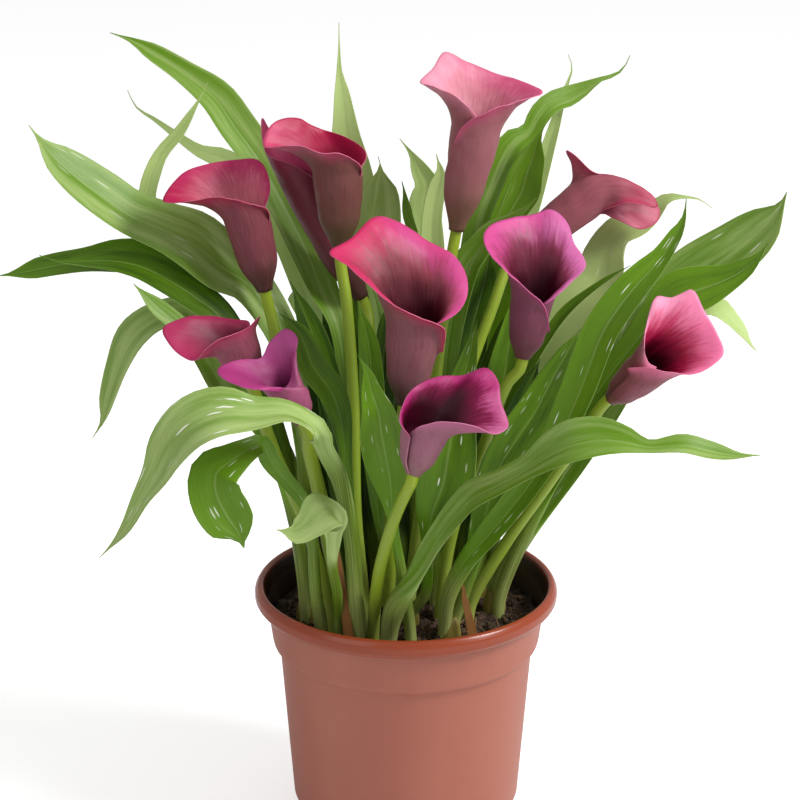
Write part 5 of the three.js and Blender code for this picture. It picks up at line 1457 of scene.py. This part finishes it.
def leaf_tissue() -> Tree:
    """Builds the group for leaves: mottled green, fine veins, a pale rib and edge, and white flecks."""
    bench = pattern_group("leaf tissue", ("Deep", "Fresh", "Pale", "Under", "Rib", "Stalk", "Foot", "Fleck"))
    across, share, upper, flat, tone, seed, flecks = bench.painted(
        "across", "share", "upper", "flat", "tone", "seed", "flecks")
    off = abs(across)
    broad = bench.cloud(bench.place(across * 1.3, share * 3.0, seed), 1.6)
    streak = bench.cloud(bench.place(across * 9.0, share * 2.2, seed), 2.0)
    slant = bench.math("FRACT", share * -11.0 + off * 10.0)
    vein = bench.ramp(abs(slant - 0.5), 0.0, 0.12, 1.0, 0.0)
    fine = bench.math("SINE", share * -190.0 + off * 210.0)

    # The leaf's tone, read from its points, carries painted light: lit leaves are painted paler, with painted
    # sheen and glow, and shaded ones darker, as painted shade.
    shade = (broad - 0.5) * 0.9 + tone + (streak - 0.5) * 0.22
    green = bench.blend(bench.ramp(shade, 0.0, 0.6), "Deep", "Fresh")
    green = bench.blend(bench.ramp(shade, 0.6, 1.25), green, "Pale")
    green = bench.blend(vein * 0.09, green, "Pale")
    green = bench.blend(bench.ramp(upper, 0.2, -0.2, 0.0, 0.6), green, "Under")
    green = bench.blend(bench.ramp(off, 0.01, 0.07, 0.22, 0.0), green, "Rib")
    green = bench.blend(bench.ramp(off, 0.975, 0.995, 0.0, 0.5), green, "Rib")

    cells = bench.add("ShaderNodeTexVoronoi", {
        "Vector": bench.place(across * 7.0, share * 15.0, seed), "Scale": 1.0})
    distance, colour = (Wire(bench, cells.outputs[name]) for name in ("Distance", "Color"))
    picked = bench.ramp(bench.get("ShaderNodeSeparateColor", {"Color": colour}), 0.68, 0.72)
    fleck = bench.ramp(distance, 0.14, 0.26, 1.0, 0.0) * picked * flecks * flat
    green = bench.blend(fleck, green, "Fleck")

    stalk = bench.blend(bench.ramp(share, 0.04, 0.26), "Foot", "Stalk")
    stalk = bench.blend(bench.ramp(streak, 0.42, 0.66, 0.0, 0.55), stalk, "Deep")
    stalk = bench.blend(bench.ramp(streak, 0.28, 0.44, 0.5, 0.0), stalk, "Rib")
    relief = vein * -0.25 + fine * 0.1 + streak * 0.6
    return bench.close(bench.blend(bench.ramp(flat, 0.1, 0.8), stalk, green), broad * 0.2 + 0.3, relief)


def petal_tissue() -> Tree:
    """Builds the group for spathes: a dark throat, a coloured rim, a duller outside and a pale edge."""
    bench = pattern_group("petal tissue", ("Throat", "Inner", "Rim", "Far Rim", "Outer", "Base", "Edge"),
                          Seed=float, Depth=float)
    height, around, inside = bench.painted("height", "around", "inside")
    seed, deep = bench.given("Seed"), bench.given("Depth")
    broad = bench.cloud(bench.place(around * 5.0, height * 2.0, seed), 2.0)
    grain = bench.cloud(bench.place(around * 52.0, height * 3.2, seed), 2.2, 5.0, 0.65)
    vein = bench.math("SINE", around * 240.0)
    level = height + (broad - 0.5) * 0.2 + (grain - 0.5) * 0.24
    spread = around + (broad - 0.5) * 0.5

    rim = bench.blend(bench.ramp(spread, 0.42, 0.7), "Rim", "Far Rim")
    within = bench.blend(bench.ramp(level, deep - 0.12, deep + 0.12), "Throat", "Inner")
    within = bench.blend(bench.ramp(level, deep + 0.04, 0.95), within, rim)
    out = bench.blend(bench.ramp(level, 0.0, 0.42), "Base", "Outer")
    out = bench.blend(bench.ramp(level, 0.62, 1.0, 0.0, 0.75), out, rim)
    colour = bench.blend(inside, out, within)
    speck = bench.ramp(grain, 0.48, 0.72, 0.0, 0.36) * bench.ramp(level, 0.95, 0.6, 0.1, 1.0)
    colour = bench.blend(speck, colour, "Throat")
    colour = bench.blend(bench.ramp(grain, 0.3, 0.5, 0.1, 0.0), colour, "Inner")
    edge = bench.ramp(abs(inside * 2.0 - 1.0), 0.5, 0.95, 0.45, 0.0)
    colour = bench.blend(edge, colour, "Edge")
    return bench.close(colour, grain * 0.3 + 0.3, vein * 0.12 + grain)


def mottle() -> Tree:
    """Builds the group for plain stuff: two tones mixed by noise, a third in spots, and a grain."""
    bench = pattern_group("mottle", ("Ground", "Cloud", "Spot"), Scale=float, Spot_Share=float,
                          Roughness_Low=float, Roughness_High=float)
    where = bench.get("ShaderNodeTexCoord", out="Object") * bench.given("Scale")
    broad = bench.cloud(where, 1.0, 5.0, 0.6)
    fine = bench.cloud(where, 9.0, 6.0, 0.7)
    limit = 1.0 - bench.given("Spot Share")
    colour = bench.blend(bench.ramp(broad, 0.35, 0.65), "Ground", "Cloud")
    colour = bench.blend(bench.ramp(fine, limit - 0.12, limit), colour, "Spot")
    rough = bench.between(fine, bench.given("Roughness Low"), bench.given("Roughness High"))
    return bench.close(colour, rough, fine)


def moulded_plastic() -> Tree:
    """Builds the group for the pot: a dusty satin body, a glossier lip, a dark inside painted as shade, and
    fine scuffs.

    The places below are in metres, up from the pot's foot or out from its axis.
    """
    bench = pattern_group("moulded plastic", ("Body", "Lip", "Inside", "Bloom"))
    where = bench.get("ShaderNodeTexCoord", out="Object")
    x, y, level = (bench.get("ShaderNodeSeparateXYZ", {"Vector": where}, part) for part in range(3))
    reach = bench.vector("LENGTH", bench.place(x, y, 0.0))
    broad = bench.cloud(where * (1.0, 1.0, 0.35), 26.0, 4.0)
    fine = bench.cloud(where * (1.0, 1.0, 4.0), 420.0, 4.0, 0.7)
    on_lip = bench.ramp(level, 0.1112, 0.1118)
    collar = bench.ramp(level, 0.0935, 0.1115) * 0.0024 + 0.0632
    # The inner wall below the collar and the inside of the mouth take the dark inside colour: painted shade,
    # since the plastic there is the same as outside.
    inner_wall = bench.ramp(collar - reach, 0.0002, 0.0007) * bench.ramp(level, 0.0936, 0.0939)
    mouth = bench.ramp(reach, 0.0675, 0.067) * bench.ramp(level, 0.1195, 0.1165)
    within = bench.math("MAXIMUM", inner_wall, mouth * bench.ramp(level, 0.1118, 0.1122))
    colour = bench.blend(bench.ramp(broad, 0.35, 0.75, 0.0, 0.4), "Body", "Bloom")
    colour = bench.blend(on_lip, colour, "Lip")
    colour = bench.blend(within, colour, "Inside")
    return bench.close(colour, on_lip * -0.22 + (fine * 0.14 + 0.4), fine)


def stalk_tissue() -> Tree:
    """Builds the group for flower stems: a pale foot, a green length and a tinted top, with fine streaks."""
    bench = pattern_group("stalk tissue", ("Foot", "Length", "Top", "Streak"))
    share, turn, seed = bench.painted("share", "turn", "seed")
    around = bench.math("SINE", turn * math.pi) * 9.0
    streak = bench.cloud(bench.place(around, share * 3.0, seed), 2.0, 5.0, 0.6)
    level = (streak - 0.5) * 0.16 + share
    colour = bench.blend(bench.ramp(level, 0.05, 0.4), "Foot", "Length")
    colour = bench.blend(bench.ramp(level, 0.8, 1.0), colour, "Top")
    colour = bench.blend(bench.ramp(streak, 0.5, 0.75, 0.0, 0.45), colour, "Streak")
    return bench.close(colour, streak * 0.2 + 0.32, streak)


@dataclass(frozen=True)
class Finish:
    """One finish: a pattern group's colours, 0 to 255, and numbers, its relief and the shader's constants."""

    name: str
    shades: dict[str, Triple]
    numbers: dict[str, float] = field(default_factory=dict)
    bump: float = 0.2
    depth: float = 0.4
    shader: dict[str, float] = field(default_factory=dict)

    def material(self, group: Tree) -> Material:
        """Makes the material.

        Args:
            group: the pattern group that feeds the shader.

        Returns:
            The material.
        """
        made = bpy.data.materials.new(self.name)
        made.use_nodes = True
        made.node_tree.nodes.clear()
        bench = NodeBench(made.node_tree)
        values = {**{key: paint(shade) for key, shade in self.shades.items()}, **self.numbers}
        pattern = bench.add("ShaderNodeGroup", node_tree=group)
        for key, value in values.items():
            bench.fill(pattern.inputs[key], value)
        colour, roughness, height = (Wire(bench, socket) for socket in pattern.outputs)
        relief = bench.get("ShaderNodeBump", {
            "Height": height, "Strength": self.bump, "Distance": self.depth * MM})
        shader = bench.get("ShaderNodeBsdfPrincipled", {
            "Base Color": colour, "Roughness": roughness, "Normal": relief, **self.shader})
        bench.fill(bench.add("ShaderNodeOutputMaterial").inputs[0], shader)
        return made


LEAF = Finish("waxy leaf", {
    "Deep": (34, 66, 0), "Fresh": (96, 138, 4), "Pale": (180, 202, 126), "Under": (160, 184, 108),
    "Rib": (188, 208, 134), "Stalk": (112, 138, 36), "Foot": (176, 184, 108), "Fleck": (236, 240, 220)},
    bump=0.2, depth=0.3, shader={"Specular IOR Level": 0.32})

HUSK = Finish("leaf sheath", {
    "Deep": (92, 66, 26), "Fresh": (160, 104, 50), "Pale": (206, 176, 120), "Under": (150, 104, 56),
    "Rib": (190, 150, 90), "Stalk": (140, 128, 56), "Foot": (186, 140, 84), "Fleck": (200, 180, 140)},
    bump=0.5, depth=0.5)

STEM = Finish("flower stem", {
    "Foot": (170, 184, 84), "Length": (138, 162, 36), "Top": (152, 174, 30), "Streak": (92, 124, 36)},
    bump=0.25, depth=0.3)

# The inside colour is painted shade: the pot is one plastic throughout, dark inside only where light does not
# reach.
POT = Finish("terracotta-coloured plastic", {
    "Body": (166, 93, 74), "Lip": (150, 62, 30), "Inside": (46, 27, 19), "Bloom": (182, 112, 92)},
    bump=0.05, depth=0.2, shader={"Coat Weight": 0.06, "Coat Roughness": 0.25})

PEAT = Finish("damp peat", {"Ground": (38, 25, 18), "Cloud": (62, 43, 30), "Spot": (104, 80, 58)}, {
    "Scale": 240.0, "Spot Share": 0.34, "Roughness Low": 0.8, "Roughness High": 1.0}, bump=0.9, depth=0.8)

CRUMB = Finish("peat crumbs", {"Ground": (46, 32, 22), "Cloud": (98, 72, 50), "Spot": (154, 124, 92)}, {
    "Scale": 420.0, "Spot Share": 0.3, "Roughness Low": 0.8, "Roughness High": 1.0}, bump=0.7, depth=0.4)

FIBRE = Finish("peat fibres", {"Ground": (120, 88, 60), "Cloud": (176, 146, 108), "Spot": (210, 188, 152)}, {
    "Scale": 300.0, "Spot Share": 0.3, "Roughness Low": 0.7, "Roughness High": 0.9}, bump=0.3, depth=0.2)

SPADIX = Finish("dark florets", {"Ground": (66, 20, 34), "Cloud": (96, 34, 46), "Spot": (150, 92, 70)}, {
    "Scale": 500.0, "Spot Share": 0.26, "Roughness Low": 0.5, "Roughness High": 0.8}, bump=0.4, depth=0.2)

# For each bloom in turn: how far up the sheet the throat's colour reaches, then the colours of the
# throat, between it and the rim, of the rim on the sheet's first side and on its other, of the tube
# outside, and of the tube's foot.
PETALS: tuple[tuple[float, tuple[Triple, ...]], ...] = (
    (0.46, ((104, 22, 50), (224, 140, 154), (184, 26, 78), (190, 44, 100), (124, 60, 70), (78, 48, 42))),
    (0.6, ((76, 10, 32), (176, 34, 74), (216, 84, 126), (176, 20, 70), (112, 66, 62), (84, 68, 40))),
    (0.6, ((60, 14, 30), (146, 44, 78), (138, 34, 68), (140, 50, 80), (120, 50, 62), (78, 48, 42))),
    (0.42, ((150, 80, 98), (222, 164, 172), (204, 76, 120), (228, 140, 164), (148, 88, 94), (118, 84, 62))),
    (0.6, ((96, 10, 36), (120, 16, 50), (178, 34, 80), (188, 86, 110), (162, 88, 100), (134, 80, 80))),
    (0.7, ((60, 4, 24), (124, 40, 66), (206, 74, 142), (206, 104, 164), (126, 64, 86), (104, 58, 64))),
    (0.68, ((58, 0, 14), (142, 60, 74), (206, 46, 98), (204, 74, 138), (132, 78, 86), (80, 54, 48))),
    (0.78, ((56, 0, 20), (128, 6, 66), (176, 44, 112), (200, 104, 150), (158, 100, 120), (138, 100, 100))),
    (0.66, ((60, 0, 16), (184, 22, 74), (240, 120, 164), (246, 150, 186), (140, 76, 88), (106, 62, 58))),
    (0.6, ((70, 12, 34), (140, 50, 74), (184, 50, 96), (172, 40, 88), (150, 76, 94), (120, 70, 78))),
    (0.6, ((96, 16, 58), (160, 60, 116), (176, 56, 124), (180, 76, 138), (160, 80, 114), (132, 84, 94))),
)
PETAL_EDGE = (240, 160, 186)


def petal(form: BloomForm) -> Finish:
    """Gives one bloom's finish."""
    depth, shades = PETALS[form.number - 1]
    names = ("Throat", "Inner", "Rim", "Far Rim", "Outer", "Base")
    return Finish("petal " + form.label, {**dict(zip(names, shades)), "Edge": PETAL_EDGE}, {
        "Seed": form.number * 1.7, "Depth": depth}, bump=0.3, depth=0.3, shader={"Specular IOR Level": 0.28})


@dataclass(frozen=True)
class Lamp:
    """One soft studio lamp."""

    name: str
    place: Triple
    aim: Triple
    size: float
    power: float

    def build(self) -> None:
        """Hangs the lamp and turns it to its aim."""
        data = bpy.data.lights.new(self.name, "AREA")
        data.size = self.size
        data.energy = self.power
        lamp = bpy.data.objects.new(self.name, data)
        lamp.location = self.place
        lamp.rotation_euler = (Vector(self.aim) - Vector(self.place)).to_track_quat("-Z", "Y").to_euler()
        bpy.context.scene.collection.objects.link(lamp)


@dataclass
class Studio:
    """The camera, the pale floor and the plain soft light, in metres."""

    camera_place: Triple = (-0.0028, -1.0004, 0.5489)
    pitch: float = 18.74
    lens: float = 103.5
    sensor: float = 36.0
    floor_reach: float = 14.0
    floor_white: float = 0.92
    floor_roughness: float = 0.9
    floor_glow: float = 0.5
    world_strength: float = 0.46
    lamps: tuple[Lamp, ...] = (
        Lamp("key lamp", (1.2, -0.45, 1.25), (0.0, 0.0, 0.2), 0.6, 24.0),
        Lamp("fill lamp", (-1.1, -1.1, 1.0), (0.0, 0.0, 0.2), 1.0, 3.0),
    )

    def camera(self) -> None:
        """Sets the camera up."""
        data = bpy.data.cameras.new("camera")
        data.lens, data.sensor_width = self.lens, self.sensor
        camera = bpy.data.objects.new("camera", data)
        camera.location = self.camera_place
        camera.rotation_euler = (math.radians(90 - self.pitch), 0.0, 0.0)
        bpy.context.scene.collection.objects.link(camera)
        bpy.context.scene.camera = camera

    def floor(self) -> None:
        """Lays the floor, which glows a little for the camera alone."""
        r = self.floor_reach
        corners = [Vector((x * r, y * r, 0)) / MM for x, y in ((-1, -1), (1, -1), (1, 1), (-1, 1))]
        floor = linked("studio_floor", mesh_of("studio_floor", corners, faces=[(0, 1, 2, 3)]))
        white = bpy.data.materials.new("studio white")
        white.use_nodes = True
        bench = NodeBench(white.node_tree)
        seen = bench.get("ShaderNodeLightPath", out="Is Camera Ray")
        inputs = white.node_tree.nodes["Principled BSDF"].inputs
        for key, value in (("Base Color", (self.floor_white,) * 3), ("Roughness", self.floor_roughness),
                           ("Emission Color", WHITE), ("Emission Strength", seen * self.floor_glow)):
            bench.fill(inputs[key], value)
        floor.data.materials.append(white)

    def world(self) -> None:
        """Makes the soft light from all sides, which the camera sees as full white."""
        world = bpy.data.worlds.new("studio light")
        world.use_nodes = True
        bench = NodeBench(world.node_tree)
        seen = bench.get("ShaderNodeLightPath", out="Is Camera Ray")
        inputs = world.node_tree.nodes["Background"].inputs
        bench.fill(inputs["Color"], WHITE)
        bench.fill(inputs["Strength"], seen * (1.0 - self.world_strength) + self.world_strength)
        bpy.context.scene.world = world

    def build(self) -> None:
        """Builds the camera, the floor, the world and the lamps."""
        self.camera()
        self.floor()
        self.world()
        bpy.context.scene.view_settings.view_transform = "Standard"
        for lamp in self.lamps:
            lamp.build()


def main() -> None:
    """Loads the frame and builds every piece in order."""
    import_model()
    Studio().build()
    Pot(POT.material(moulded_plastic())).build()
    stuff = mottle()
    Peat(PEAT.material(stuff), CRUMB.material(stuff), FIBRE.material(stuff)).build()
    tissue = leaf_tissue()
    blades = blade_tree()
    Foliage(blades, LEAF.material(tissue), HUSK.material(tissue)).build()
    stem_skin = STEM.material(stalk_tissue())
    petals = petal_tissue()
    florets = floret_tree()
    spadix_skin = SPADIX.material(stuff)
    for form in BLOOMS:
        FlowerStem(form, blades, stem_skin).build()
        Spathe(form, petal(form).material(petals)).build()
        Spadix(form, florets, spadix_skin).build()


if __name__ == "__main__":
    logging.basicConfig(level=logging.INFO, format="%(message)s")
    main()
